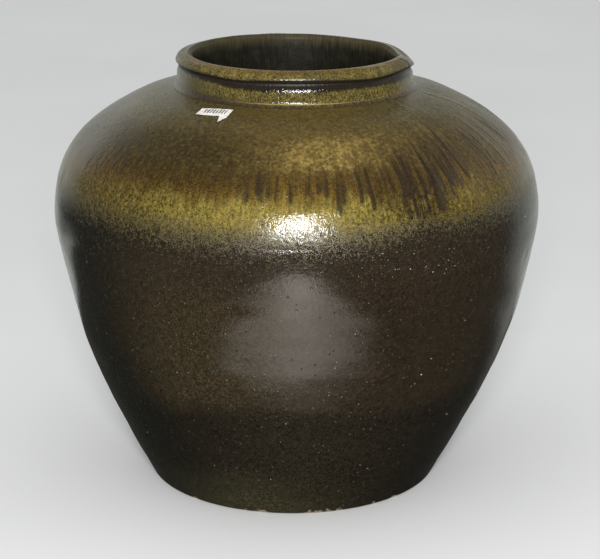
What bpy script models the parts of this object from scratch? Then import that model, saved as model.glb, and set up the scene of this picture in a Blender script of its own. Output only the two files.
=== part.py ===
# Large glazed stoneware storage jar with a short neck and a rolled lip.
# The jar is made as a potter builds it: a slab base, a lower wall, a shoulder,
# a neck collar and a lip coil, each formed on its own and luted to the next
# in a stepped lap. A paper sticker lies on the shoulder.
# Units are metres, +Z is up, and the origin is the middle of the foot.

import math

import bmesh
import bpy
import numpy as np
from mathutils import Matrix, Vector

# Body of the jar
belly_radius = 0.375
belly_height = 0.4175
foot_radius = 0.226
shoulder_rise = 0.1965
wall = 0.016
base_thickness = 0.022
foot_edge = 0.004

# Neck and lip
mouth_radius = 0.1545
neck_wall = 0.0175
neck_flare = 0.006
neck_height = 0.036
foot_bead = 0.0012
lip_height = 0.013
lip_overhang = 0.0075
lip_round = 0.0035

# Luted joints: the slip between two sections is a thin gap
lap_depth = 0.005
slip_gap = 0.0003
seam_rise = 0.038

# What the potter's hand and the kiln did to the round form
foot_drift = 0.0055
mouth_drift = 0.003
rim_swell = 0.0022
lip_droop = 0.0075

# Sticker on the shoulder
label_length = 0.051
label_width = 0.024
label_tail = 0.027
label_setback = 0.025
label_paper = 0.0004
label_mesh_step = 0.0035
label_azimuth = -122.5
label_turn = 10.0

# Facets
sides = 64
lower_rows = 10
belly_rows = 3
shoulder_rows = 9
arc_steps = 4
profile_samples = 24
sharp_angle = 35
weld = 0.000001

# Heights within the lip and neck: the lip's step and widest ring, and the waist above the flare
lip_step_share = 0.33
widest_share = 0.45
waist_share = 0.82

# Places worked out from the sizes above
shoulder_height = belly_height + shoulder_rise
waist_radius = mouth_radius + neck_wall
neck_foot_radius = waist_radius + neck_flare
lip_radius = waist_radius + lip_overhang
neck_top = shoulder_height + neck_height
rim_top = neck_top + lip_height
seam_height = belly_height + seam_rise
neck_step_radius = mouth_radius + neck_wall / 2
lip_step = neck_top + lip_step_share * lip_height

# Outline of the wall as (height, swell) shares between foot, belly and neck
lower_wall_shares = ((0, 0), (0.09, 0.146), (0.235, 0.347), (0.41, 0.575), (0.59, 0.756),
                     (0.735, 0.852), (0.88, 0.947), (1, 1))
shoulder_shares = ((0.234, 0.983), (0.453, 0.911), (0.641, 0.769), (0.797, 0.564),
                   (0.912, 0.345), (1, 0))

# Slow rises and falls of the rim: azimuth and spread in degrees, then a share of rim_swell
rim_swell_shares = ((150, 45, 1), (52, 24, -1))
droop_azimuth = 9
droop_spread = 14

# Where the sticker's tail starts along its lower edge, where its tip hangs, and its torn notch
tail_root_share = 0.8
tail_tip_share = 0.86
tail_notch_share = 0.72


def clear_scene():
    for obj in list(bpy.data.objects):
        bpy.data.objects.remove(obj, do_unlink=True)


def finish(name, colour, roughness):
    material = bpy.data.materials.new(name)
    material.use_nodes = True
    shader = material.node_tree.nodes["Principled BSDF"]
    shader.inputs["Base Color"].default_value = (*colour, 1)
    shader.inputs["Roughness"].default_value = roughness
    shader.inputs["Metallic"].default_value = 0
    return material


# The turned outline

def wall_points():
    points = []
    for height_share, swell_share in lower_wall_shares:
        radius = foot_radius + swell_share * (belly_radius - foot_radius)
        points.append((radius, height_share * belly_height))
    for height_share, swell_share in shoulder_shares:
        radius = neck_foot_radius + swell_share * (belly_radius - neck_foot_radius)
        points.append((radius, belly_height + height_share * shoulder_rise))
    return np.array(points)


def smooth_curve(points):
    """Cubic curve through the points, each slope taken from the two neighbours."""
    knots = np.concatenate(([0], np.cumsum(np.linalg.norm(np.diff(points, axis=0), axis=1))))
    slopes = np.gradient(points, knots, axis=0)
    pieces = []
    for i in range(len(points) - 1):
        span = knots[i + 1] - knots[i]
        t = np.linspace(0, 1, profile_samples, endpoint=False)[:, None]
        start = (2 * t**3 - 3 * t**2 + 1) * points[i] + (t**3 - 2 * t**2 + t) * span * slopes[i]
        end = (3 * t**2 - 2 * t**3) * points[i + 1] + (t**3 - t**2) * span * slopes[i + 1]
        pieces.append(start + end)
    pieces.append(points[-1:])
    return np.vstack(pieces)


def offset_inwards(curve, distance):
    """The curve moved towards the axis side, square to itself."""
    along = np.gradient(curve, axis=0)
    along /= np.linalg.norm(along, axis=1)[:, None]
    inward = np.column_stack((-along[:, 1], along[:, 0]))
    return curve + inward * distance


def radius_at(curve, height):
    return float(np.interp(height, curve[:, 1], curve[:, 0]))


def mid_radius(outer, inner, height):
    return (radius_at(outer, height) + radius_at(inner, height)) / 2


def run_between(curve, low, high, count):
    """Points evenly spaced along the curve, from one height to another."""
    inside = curve[(curve[:, 1] > low) & (curve[:, 1] < high)]
    start = (radius_at(curve, low), low)
    end = (radius_at(curve, high), high)
    stretch = np.vstack((start, inside, end))
    length = np.concatenate(([0], np.cumsum(np.linalg.norm(np.diff(stretch, axis=0), axis=1))))
    marks = np.linspace(0, length[-1], count)
    return [(float(np.interp(m, length, stretch[:, 0])), float(np.interp(m, length, stretch[:, 1])))
            for m in marks]


def arc(centre, radii, start, end):
    """Points of an elliptical arc in the (radius, height) plane, angles in degrees."""
    points = []
    for i in range(arc_steps + 1):
        angle = math.radians(start + (end - start) * i / arc_steps)
        points.append((centre[0] + radii[0] * math.cos(angle), centre[1] + radii[1] * math.sin(angle)))
    return points


# The hand-made warp

def bump(azimuth, middle, spread):
    away = (azimuth - middle + 180) % 360 - 180
    return math.exp(-(away / spread) ** 2)


def rim_rise(azimuth):
    rise = sum(share * rim_swell * bump(azimuth, middle, spread)
               for middle, spread, share in rim_swell_shares)
    return rise - lip_droop * bump(azimuth, droop_azimuth, droop_spread)


def warp(point):
    """Foot and mouth stand a little off the belly's axis, and the rim waves."""
    azimuth = math.degrees(math.atan2(point.y, point.x))
    if point.z < belly_height:
        drift = foot_drift * (1 - point.z / belly_height) ** 2
    else:
        drift = mouth_drift * min((point.z - belly_height) / (rim_top - belly_height), 1) ** 2
    share = min(max((point.z - shoulder_height) / (rim_top - shoulder_height), 0), 1)
    lift = rim_rise(azimuth) * share * math.sqrt(share)
    return Vector((point.x - drift, point.y, point.z + lift))


def turn_section(name, section, material, closed=True):
    """Turns a (radius, height) section about the axis and warps it by hand."""
    bm = bmesh.new()
    verts = [bm.verts.new((radius, 0, height)) for radius, height in section]
    for a, b in zip(verts, verts[1:]):
        bm.edges.new((a, b))
    if closed:
        bm.edges.new((verts[-1], verts[0]))
    bmesh.ops.spin(bm, geom=bm.verts[:] + bm.edges[:], cent=(0, 0, 0), axis=(0, 0, 1),
                   angle=math.tau, steps=sides, use_merge=True, use_duplicate=False)
    bmesh.ops.remove_doubles(bm, verts=bm.verts[:], dist=weld)
    bmesh.ops.recalc_face_normals(bm, faces=bm.faces[:])
    for vert in bm.verts:
        vert.co = warp(vert.co)
    mesh = bpy.data.meshes.new(name)
    bm.to_mesh(mesh)
    bm.free()
    mesh.shade_smooth()
    mesh.set_sharp_from_angle(angle=math.radians(sharp_angle))
    mesh.materials.append(material)
    obj = bpy.data.objects.new(name, mesh)
    bpy.context.scene.collection.objects.link(obj)
    return obj


# The potter's sections

def build_base_disc(outer, inner, material):
    step_radius = mid_radius(outer, inner, base_thickness)
    section = [
        (0, 0),
        (foot_radius - foot_edge, 0),
        (radius_at(outer, foot_edge), foot_edge),
        (radius_at(outer, base_thickness), base_thickness),
        (step_radius, base_thickness),
        (step_radius, base_thickness + lap_depth),
        (0, base_thickness + lap_depth),
    ]
    return turn_section("base_disc", section, material, closed=False)


def build_lower_wall(outer, inner, material):
    step_radius = mid_radius(outer, inner, base_thickness) + slip_gap
    seat = base_thickness + slip_gap
    floor = seat + lap_depth
    tongue_radius = mid_radius(outer, inner, seam_height)
    tongue_top = seam_height + lap_depth
    section = run_between(outer, seat, belly_height, lower_rows)
    section += run_between(outer, belly_height, seam_height, belly_rows)[1:]
    section += [(tongue_radius, seam_height), (tongue_radius, tongue_top)]
    section += reversed(run_between(inner, floor, tongue_top, lower_rows))
    section += [(step_radius, floor), (step_radius, seat)]
    return turn_section("lower_wall", section, material)


def build_shoulder(outer, inner, material):
    tongue_radius = mid_radius(outer, inner, seam_height) + slip_gap
    seat = seam_height + slip_gap
    ledge = seat + lap_depth
    throat = float(inner[-1, 1])
    section = run_between(outer, seat, shoulder_height, shoulder_rows)
    section += [(neck_step_radius, shoulder_height), (neck_step_radius, shoulder_height - lap_depth)]
    section += [(mouth_radius, shoulder_height - lap_depth), (mouth_radius, throat)]
    section += reversed(run_between(inner, ledge, throat, shoulder_rows))
    section += [(tongue_radius, ledge), (tongue_radius, seat)]
    return turn_section("shoulder", section, material)


def build_neck_collar(material):
    seat = shoulder_height + slip_gap
    tongue = seat - lap_depth
    bead_top = seat + foot_bead + foot_bead
    waist = bead_top + waist_share * (neck_top - bead_top)
    flare = arc((neck_foot_radius, waist), (neck_flare, waist - bead_top), 270, 180)
    section = [
        (mouth_radius, tongue),
        (neck_step_radius - slip_gap, tongue),
        (neck_step_radius - slip_gap, seat),
        (neck_foot_radius, seat),
        (neck_foot_radius + foot_bead, seat + foot_bead),
    ]
    section += flare
    section += [
        (waist_radius, neck_top),
        (neck_step_radius, neck_top),
        (neck_step_radius, lip_step),
        (mouth_radius, lip_step),
    ]
    return turn_section("neck_collar", section, material)


def build_lip_roll(material):
    seat = neck_top + slip_gap
    step_top = lip_step + slip_gap
    crest_radius = mouth_radius + lip_round
    widest = seat + (rim_top - seat) * widest_share
    section = [(mouth_radius, step_top)]
    section += arc((crest_radius, rim_top - lip_round), (lip_round, lip_round), 180, 90)
    section += arc((crest_radius, widest), (lip_radius - crest_radius, rim_top - widest), 90, 0)[1:]
    section += arc((waist_radius, widest), (lip_overhang, widest - seat), 0, -90)[1:]
    section += [(neck_step_radius + slip_gap, seat), (neck_step_radius + slip_gap, step_top)]
    return turn_section("lip_roll", section, material)


# The sticker

def label_outline():
    """Corners of the sticker: a rectangle whose torn lower corner trails a tapering tail."""
    left, right = -label_length / 2, label_length / 2
    top, bottom = label_width / 2, -label_width / 2
    return [
        (left, top),
        (left, bottom),
        (left + tail_root_share * label_length, bottom),
        (left + tail_tip_share * label_length, bottom - label_tail),
        (right, bottom - tail_notch_share * label_tail),
        (right, bottom),
        (right, top),
    ]


def build_label(outer, shoulder, material):
    bm = bmesh.new()
    verts = [bm.verts.new((x, y, 0)) for x, y in label_outline()]
    bm.faces.new(verts)
    for axis, low, high in ((0, -label_length / 2, label_length / 2),
                            (1, -label_width / 2 - label_tail, label_width / 2)):
        count = max(round((high - low) / label_mesh_step), 1)
        for i in range(1, count):
            place = Vector((0, 0, 0))
            place[axis] = low + (high - low) * i / count
            normal = Vector((0, 0, 0))
            normal[axis] = 1
            geom = bm.verts[:] + bm.edges[:] + bm.faces[:]
            bmesh.ops.bisect_plane(bm, geom=geom, dist=weld, plane_co=place, plane_no=normal)
    mesh = bpy.data.meshes.new("paper_label")
    bm.to_mesh(mesh)
    bm.free()
    mesh.materials.append(material)
    obj = bpy.data.objects.new("paper_label", mesh)
    bpy.context.scene.collection.objects.link(obj)

    radius = neck_foot_radius + label_setback + label_width / 2
    shoulder_part = outer[outer[:, 1] > belly_height][::-1]
    height = float(np.interp(radius, shoulder_part[:, 0], shoulder_part[:, 1]))
    step = label_width / 2
    rise = height - float(np.interp(radius + step, shoulder_part[:, 0], shoulder_part[:, 1]))
    azimuth = math.radians(label_azimuth)
    away = Vector((math.cos(azimuth), math.sin(azimuth), 0))
    normal = (away * rise + Vector((0, 0, step))).normalized()
    across = Vector((-math.sin(azimuth), math.cos(azimuth), 0))
    up_slope = normal.cross(across)
    frame = Matrix((across, up_slope, normal)).transposed().to_4x4()
    place = away * radius + Vector((0, 0, height)) + normal * wall
    obj.matrix_world = Matrix.Translation(place) @ frame @ Matrix.Rotation(math.radians(label_turn), 4, "Z")

    lay = obj.modifiers.new("lie_on_shoulder", "SHRINKWRAP")
    lay.target = shoulder
    lay.wrap_method = "PROJECT"
    lay.use_project_z = True
    lay.use_negative_direction = True
    lay.use_positive_direction = False
    lay.offset = slip_gap
    thick = obj.modifiers.new("paper", "SOLIDIFY")
    thick.thickness = label_paper
    thick.offset = 1
    return obj


def main():
    clear_scene()
    outer = smooth_curve(wall_points())
    inner = offset_inwards(outer, wall)
    dark_glaze = finish("dark_glaze", (0.03, 0.022, 0.016), 0.15)
    olive_glaze = finish("olive_glaze", (0.16, 0.115, 0.04), 0.15)
    mustard_glaze = finish("mustard_glaze", (0.2, 0.15, 0.045), 0.15)
    bare_clay = finish("bare_clay", (0.22, 0.17, 0.12), 0.8)
    paper = finish("label_paper", (0.8, 0.78, 0.72), 0.7)
    build_base_disc(outer, inner, bare_clay)
    build_lower_wall(outer, inner, dark_glaze)
    shoulder = build_shoulder(outer, inner, olive_glaze)
    build_neck_collar(mustard_glaze)
    build_lip_roll(mustard_glaze)
    build_label(outer, shoulder, paper)


main()
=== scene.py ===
import math

import bpy
import numpy as np
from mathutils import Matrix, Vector


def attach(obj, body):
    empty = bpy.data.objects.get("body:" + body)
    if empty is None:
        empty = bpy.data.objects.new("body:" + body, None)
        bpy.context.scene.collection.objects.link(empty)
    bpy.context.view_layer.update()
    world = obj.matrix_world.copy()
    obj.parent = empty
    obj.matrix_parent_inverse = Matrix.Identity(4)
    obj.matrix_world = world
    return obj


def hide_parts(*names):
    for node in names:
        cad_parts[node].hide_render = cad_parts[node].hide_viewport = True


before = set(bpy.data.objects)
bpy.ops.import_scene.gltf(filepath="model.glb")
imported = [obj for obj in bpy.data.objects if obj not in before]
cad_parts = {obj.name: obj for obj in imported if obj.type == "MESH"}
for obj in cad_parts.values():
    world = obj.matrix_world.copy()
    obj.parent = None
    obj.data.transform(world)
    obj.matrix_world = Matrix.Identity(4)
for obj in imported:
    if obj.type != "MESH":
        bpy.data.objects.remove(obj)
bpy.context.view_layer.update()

bpy.ops.object.select_all(action="DESELECT")
print("packed sections loaded")


# The jar's turned outline, in metres, with the front at azimuth 0 and the right side at +90

jarForm = {
    "bellyRadius": 0.375, "bellyHeight": 0.4175, "footRadius": 0.226, "shoulderRise": 0.1965,
    "wall": 0.016, "baseThickness": 0.022, "footEdge": 0.004, "seamHeight": 0.4555,
    "mouthRadius": 0.1545, "neckWall": 0.0175, "neckFlare": 0.006, "neckHeight": 0.036,
    "lipHeight": 0.013, "footDrift": 0.0055, "mouthDrift": 0.003, "rimSwell": 0.0022, "lipDroop": 0.0075,
    "droopAround": 99, "droopSpread": 14, "riseGrowth": 1.5,
    "rimSwellShares": ((-120, 45, 1), (142, 24, -1)),  # azimuth, spread, share of the swell
    "lowerShares": ((0, 0), (0.09, 0.146), (0.235, 0.347), (0.41, 0.575), (0.59, 0.756),
                    (0.735, 0.852), (0.88, 0.947), (1, 1)),
    "shoulderShares": ((0.234, 0.983), (0.453, 0.911), (0.641, 0.769), (0.797, 0.564),
                       (0.912, 0.345), (1, 0)),
}
jarForm["shoulderHeight"] = jarForm["bellyHeight"] + jarForm["shoulderRise"]
jarForm["waistRadius"] = jarForm["mouthRadius"] + jarForm["neckWall"]
jarForm["neckFootRadius"] = jarForm["waistRadius"] + jarForm["neckFlare"]
jarForm["neckTop"] = jarForm["shoulderHeight"] + jarForm["neckHeight"]
jarForm["rimTop"] = jarForm["neckTop"] + jarForm["lipHeight"]

# how far apart the rings of points stand
ringGap = {
    "join": 0.0005, "joinBand": 0.002, "foot": 0.0012, "underside": 0.011, "slab": 0.03,
    "wall": 0.003, "shoulder": 0.0034, "neck": 0.0009, "lip": 0.0007,
    "face": 0.008, "insideWall": 0.013, "insideShoulder": 0.02, "collarFace": 0.006, "bore": 0.003,
}
sidesRound = {"foot": 720, "wall": 480, "shoulder": 960, "neck": 960, "lip": 960}
arcSteps = {"foot": 6, "crest": 14, "lip": 26}
turning = {"firstPlane": 0.001, "merge": 0.00002, "smoothUnder": 40}


def wallPoints():
    form, points = jarForm, []
    for heightShare, swellShare in form["lowerShares"]:
        radius = form["footRadius"] + swellShare * (form["bellyRadius"] - form["footRadius"])
        points.append((radius, heightShare * form["bellyHeight"]))
    for heightShare, swellShare in form["shoulderShares"]:
        radius = form["neckFootRadius"] + swellShare * (form["bellyRadius"] - form["neckFootRadius"])
        points.append((radius, form["bellyHeight"] + heightShare * form["shoulderRise"]))
    return np.array(points)


def pathLength(points):
    return np.concatenate(([0], np.cumsum(np.linalg.norm(np.diff(points, axis=0), axis=1))))


def smoothCurve(points, samples=48):
    # a cubic through the points, with each slope taken from the two neighbours
    knots = pathLength(points)
    slopes = np.gradient(points, knots, axis=0)
    runs = []
    for i in range(len(points) - 1):
        span = knots[i + 1] - knots[i]
        t = np.linspace(0, 1, samples, endpoint=False)[:, None]
        start = (2 * t**3 - 3 * t**2 + 1) * points[i] + (t**3 - 2 * t**2 + t) * span * slopes[i]
        end = (3 * t**2 - 2 * t**3) * points[i + 1] + (t**3 - t**2) * span * slopes[i + 1]
        runs.append(start + end)
    runs.append(points[-1:])
    return np.vstack(runs)


def insideCurve(curve, distance):
    along = np.gradient(curve, axis=0)
    along /= np.linalg.norm(along, axis=1)[:, None]
    return curve + np.column_stack((-along[:, 1], along[:, 0])) * distance


def radiusAt(curve, height):
    return float(np.interp(height, curve[:, 1], curve[:, 0]))


def rowsBetween(curve, low, high, spacing):
    # points along the curve, evenly spaced, from one height to another
    inside = curve[(curve[:, 1] > low) & (curve[:, 1] < high)]
    run = np.vstack(((radiusAt(curve, low), low), inside, (radiusAt(curve, high), high)))
    length = pathLength(run)
    marks = np.linspace(0, length[-1], max(round(length[-1] / spacing), 1) + 1)
    return [(float(np.interp(m, length, run[:, 0])), float(np.interp(m, length, run[:, 1]))) for m in marks]


def straightRows(start, end, spacing):
    # points on a straight line, without its first
    gap = math.dist(start, end)
    count = max(round(gap / spacing), 1)
    return [(start[0] + (end[0] - start[0]) * i / count, start[1] + (end[1] - start[1]) * i / count)
            for i in range(1, count + 1)]


def arcRows(centre, radii, start, end, steps):
    angles = [math.radians(start + (end - start) * i / steps) for i in range(steps + 1)]
    return [(centre[0] + radii[0] * math.cos(a), centre[1] + radii[1] * math.sin(a)) for a in angles]


def turnSection(name, outline, sides):
    # one corner of a plane is drawn out along the outline, then turned round the axis
    bpy.ops.object.select_all(action="DESELECT")
    bpy.ops.mesh.primitive_plane_add(size=turning["firstPlane"], location=(outline[0][0], 0, outline[0][1]))
    piece = bpy.context.object
    piece.name = piece.data.name = name
    bpy.ops.object.transform_apply(location=True, rotation=True, scale=True)
    bpy.ops.object.mode_set(mode="EDIT")
    bpy.ops.mesh.select_all(action="SELECT")
    bpy.ops.mesh.merge(type="CENTER")
    for (oldRadius, oldHeight), (radius, height) in zip(outline, outline[1:]):
        step = (radius - oldRadius, 0, height - oldHeight)
        bpy.ops.mesh.extrude_region_move(TRANSFORM_OT_translate={"value": step})
    bpy.ops.object.mode_set(mode="OBJECT")
    wheel = piece.modifiers.new("wheel", "SCREW")
    wheel.steps = wheel.render_steps = sides
    bpy.ops.object.modifier_apply(modifier=wheel.name)
    bpy.ops.object.mode_set(mode="EDIT")
    bpy.ops.mesh.select_all(action="SELECT")
    bpy.ops.mesh.remove_doubles(threshold=turning["merge"])  # the axis and the closed end of the turn
    bpy.ops.mesh.normals_make_consistent(inside=False)
    bpy.ops.object.mode_set(mode="OBJECT")
    bpy.ops.object.shade_smooth_by_angle(angle=math.radians(turning["smoothUnder"]))
    return piece


# What the hand and the kiln did to the round form

def wrapped(degrees):
    return (degrees + 180) % 360 - 180


def bump(around, middle, spread):
    return np.exp(-(wrapped(around - middle) / spread) ** 2)


def fade(values, low, high):
    share = np.clip((values - low) / (high - low), 0, 1)
    return share * share * (3 - 2 * share)


def swell(around, level, seed, turns, climbs, count=18):
    # a seamless random swell: sines with a whole number of waves round the jar
    rng = np.random.default_rng(seed)
    total = np.zeros_like(around)
    for _ in range(count):
        wave = rng.integers(turns[0], turns[1] + 1) * np.radians(around)
        climb = math.tau * rng.uniform(*climbs) * rng.choice((-1, 1)) * level
        total += np.sin(wave + climb + rng.uniform(0, math.tau))
    return total / math.sqrt(count / 2)


def warped(points):
    # foot and mouth stand a little off the belly's axis, and the rim waves
    form = jarForm
    x, y, z = points.T
    around = np.degrees(np.arctan2(x, -y))
    above = np.clip((z - form["bellyHeight"]) / (form["rimTop"] - form["bellyHeight"]), 0, 1)
    below = np.clip(1 - z / form["bellyHeight"], 0, 1)
    drift = form["footDrift"] * below ** 2 + form["mouthDrift"] * above ** 2
    rise = -form["lipDroop"] * bump(around, form["droopAround"], form["droopSpread"])
    for middle, spread, share in form["rimSwellShares"]:
        rise += share * form["rimSwell"] * bump(around, middle, spread)
    top = np.clip((z - form["shoulderHeight"]) / (form["rimTop"] - form["shoulderHeight"]), 0, 1)
    return np.column_stack((x - drift, y, z + rise * top ** form["riseGrowth"]))


def facingOf(curve, around, level):
    # the way that the turned wall faces, at each height of its outline
    along = np.gradient(curve, axis=0)
    along /= np.linalg.norm(along, axis=1)[:, None]
    out = np.interp(level, curve[:, 1], along[:, 1])
    up = np.interp(level, curve[:, 1], -along[:, 0])
    angle = np.radians(around)
    return np.column_stack((out * np.sin(angle), -out * np.cos(angle), up))


def sculpt(piece, curve, relief, marks=None, roundAbove=None, sag=None):
    # moves each point out or in from the outline, notes its turned height, then warps the piece
    mesh = piece.data
    points = np.empty(len(mesh.vertices) * 3)
    normals = points.copy()
    mesh.vertices.foreach_get("co", points)
    mesh.vertices.foreach_get("normal", normals)
    points, normals = points.reshape(-1, 3), normals.reshape(-1, 3)
    radius = np.hypot(points[:, 0], points[:, 1])
    around = np.degrees(np.arctan2(points[:, 0], -points[:, 1]))
    level = points[:, 2].copy()
    fields = {"level": level}
    if marks:
        fields.update(marks(around, level, radius))
    for name, values in fields.items():
        layer = mesh.attributes.new(name, "FLOAT", "POINT")
        layer.data.foreach_set("value", np.ascontiguousarray(values, dtype=np.float32))
    facing = facingOf(curve, around, level)
    if roundAbove:
        share = fade(level, *roundAbove)[:, None]
        facing = facing * (1 - share) + normals * share
    points += facing * relief(around, level, radius)[:, None]
    if sag:
        points[:, 2] -= sag(around, level, radius)
    mesh.vertices.foreach_set("co", warped(points).ravel())
    mesh.update()


# a swell's seed, its waves round the jar, its waves up the jar and its number of sines
bodyRelief = {
    "roundness": 0.0005, "slowSwell": (11, (2, 4), (0.3, 1.6), 8),
    "ripple": 0.00022, "rippleSwell": (12, (5, 17), (5, 16), 26),
    "throwing": 0.00008, "throwingPitch": 0.031, "throwingWobble": (13, (1, 5), (0, 2), 6),
    "sink": 0.0012, "footEnd": (0.004, 0.03), "neckEnd": (0.59, 0.612),
    "full": 0.0034, "fullAround": (92, 36), "fullHeight": 0.3, "fullReach": 0.055,
    "seamAround": (-38, 40), "seamDepth": 0.0004, "seamWidth": 0.0025,
    "dents": 26, "dentSeed": 21, "dentHeight": (0.06, 0.56), "dentRadius": (0.005, 0.012),
    "dentDepth": (0.0003, 0.0009), "dentRing": 0.35,
}


def bodyShape(around, level):
    # swells, throwing rings, dents and the seam's line, sunk below the frame's widest ring, and the fuller right side
    form, relief = jarForm, bodyRelief
    move = relief["roundness"] * swell(around, level, *relief["slowSwell"])
    move += relief["ripple"] * swell(around, level, *relief["rippleSwell"])
    wobble = swell(around, level, *relief["throwingWobble"])
    move += relief["throwing"] * np.sin(math.tau * level / relief["throwingPitch"] + wobble)
    seam = np.exp(-((level - form["seamHeight"]) / relief["seamWidth"]) ** 2)
    move -= relief["seamDepth"] * seam * bump(around, *relief["seamAround"])
    rng = np.random.default_rng(relief["dentSeed"])
    for _ in range(relief["dents"]):
        middle, height = rng.uniform(-180, 180), rng.uniform(*relief["dentHeight"])
        size, depth = rng.uniform(*relief["dentRadius"]), rng.uniform(*relief["dentDepth"])
        across = np.radians(wrapped(around - middle)) * relief["dentRing"] / size
        move -= depth * np.exp(-(across ** 2 + ((level - height) / size) ** 2))
    ends = fade(level, *relief["footEnd"]) * (1 - fade(level, *relief["neckEnd"]))
    high = np.exp(-((level - relief["fullHeight"]) / relief["fullReach"]) ** 2)
    full = relief["full"] * bump(around, *relief["fullAround"]) * high
    return (np.minimum(move - relief["sink"], 0) + full) * ends


def onOutside(radius, level, outer, inner):
    middle = (np.interp(level, outer[:, 1], outer[:, 0]) + np.interp(level, inner[:, 1], inner[:, 0])) / 2
    return radius > middle


# Glaze runs down the shoulder

drips = {
    "count": 200, "seed": 7, "width": (0.4, 1.0), "jitter": 0.7, "near": 5,
    "side": (40, 150), "sideNarrow": 0.65, "start": (0.552, 0.566), "sideStart": (0.575, 0.604),
    "end": 0.528, "reach": 0.042, "reachShare": (0.05, 1), "strongShare": (0.35, 1), "relief": 0.001,
    "sway": (0.1, 0.5), "swayTurn": 90, "tip": (0.004, 0.008), "root": (0.034, 0.012),
    "strengthAround": (-180, -70, -50, -20, -12, 15, 20, 43, 50, 80, 120, 180),
    "strength": (0.5, 0.45, 0.3, 0.4, 0.8, 0.9, 1, 1, 0.65, 0.5, 0.5, 0.5),
}


def dripField(around, level):
    rng = np.random.default_rng(drips["seed"])
    field = np.zeros_like(around)
    for i in range(drips["count"]):
        middle = wrapped(i * 360 / drips["count"] + rng.normal(0, drips["jitter"]))
        side = drips["side"][0] < middle < drips["side"][1]
        width, start = rng.uniform(*drips["width"]), rng.uniform(*drips["sideStart" if side else "start"])
        width *= drips["sideNarrow"] if side else 1
        reach, sway, phase = rng.uniform(*drips["reachShare"]), rng.uniform(*drips["sway"]), rng.uniform(0, math.tau)
        strength = np.interp(middle, drips["strengthAround"], drips["strength"])
        strength *= rng.uniform(*drips["strongShare"])
        end = drips["end"] - drips["reach"] * reach * strength
        near = np.abs(wrapped(around - middle)) < drips["near"]
        height = level[near]
        away = wrapped(around[near] - middle - sway * np.sin(height * drips["swayTurn"] + phase)) / width
        along = fade(height, end - drips["tip"][0], end + drips["tip"][1])
        along *= 1 - fade(height, start - drips["root"][0], start + drips["root"][1])
        field[near] = np.maximum(field[near], np.exp(-away ** 2) * along * strength)
    return field


# The sections

footWear = {
    "chips": ((-12, 2.6), (-18.5, 0.7), (6, 1.6), (10, 2.2), (13.5, 1.4), (18, 1.2), (32.5, 0.8), (42.5, 1.8),
              (-41, 1.0), (71, 1.4), (118, 2.4), (160, 1.3), (-95, 1.8), (-132, 2.2), (-165, 1.2)),
    "chipHeight": 0.0052, "chipDepth": 0.0013, "chipEdge": 0.0006, "chipInset": 0.004,
    "ragged": (31, (60, 240), (30, 160), 24), "raggedShare": 0.35, "under": (0.0002, 0.0018),
    "crumble": 0.0003, "crumbleSwell": (32, (150, 320), (100, 320), 20), "wornFrom": (0.0002, 0.0015), "rim": 0.005,
}


def buildFoot(outer):
    form, wear = jarForm, footWear
    edge = form["footRadius"] - form["footEdge"]
    outline = [(0.0, 0.0)] + straightRows((0.0, 0.0), (edge, 0.0), ringGap["underside"])
    outline += arcRows((edge, form["footEdge"]), (radiusAt(outer, form["footEdge"]) - edge, form["footEdge"]),
                       -90, 0, arcSteps["foot"])[1:]
    outline += rowsBetween(outer, form["footEdge"], form["baseThickness"], ringGap["foot"])[1:]
    outline += straightRows(outline[-1], (0.0, form["baseThickness"]), ringGap["slab"])
    piece = turnSection("glazedFoot", outline, sidesRound["foot"])

    def chipField(around, level, radius):
        ragged = swell(around, level, *wear["ragged"])
        field = np.zeros_like(around)
        for middle, spread in wear["chips"]:
            field = np.maximum(field, bump(around, middle, spread))
        reach = wear["chipHeight"] * field * (1 + wear["raggedShare"] * ragged)
        bare = fade(reach - level, -wear["chipEdge"], wear["chipEdge"]) * (radius > edge - wear["chipInset"])
        return {"bare": np.maximum(bare, 1 - fade(level, *wear["under"]))}

    def relief(around, level, radius):
        crumble = wear["crumble"] * swell(around, level, *wear["crumbleSwell"])
        worn = chipField(around, level, radius)["bare"] * fade(level, *wear["wornFrom"])
        move = bodyShape(around, level) - worn * (wear["chipDepth"] + crumble)
        rim = radius > np.interp(level, outer[:, 1], outer[:, 0]) - wear["rim"]
        return np.where(rim, move, 0)

    sculpt(piece, outer, relief, chipField)
    return piece


def buildLowerBody(outer, inner):
    low, high, band = jarForm["baseThickness"], jarForm["seamHeight"], ringGap["joinBand"]
    outline = rowsBetween(outer, low, low + band, ringGap["join"])
    outline += rowsBetween(outer, low + band, high - band, ringGap["wall"])[1:]
    outline += rowsBetween(outer, high - band, high, ringGap["join"])[1:]
    outline += straightRows(outline[-1], (radiusAt(inner, high), high), ringGap["face"])
    outline += reversed(rowsBetween(inner, low, high, ringGap["insideWall"])[:-1])
    outline += straightRows(outline[-1], outline[0], ringGap["face"])
    piece = turnSection("lowerBody", outline, sidesRound["wall"])

    def relief(around, level, radius):
        return np.where(onOutside(radius, level, outer, inner), bodyShape(around, level), 0)

    sculpt(piece, outer, relief)
    return piece


shoulderRelief = {
    "runs": 0.00002, "sideRuns": 0.00011, "sideAround": (75, 42), "runSwell": (41, (130, 330), (1, 12), 30),
    "runsAbove": (0.50, 0.54), "lastRing": (0.606, 0.613),
    "edge": 0.0002, "edgeHeight": 0.4825, "edgeWidth": 0.0024, "edgeFrom": (-30, 0), "edgeTo": (140, 178),
}


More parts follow.
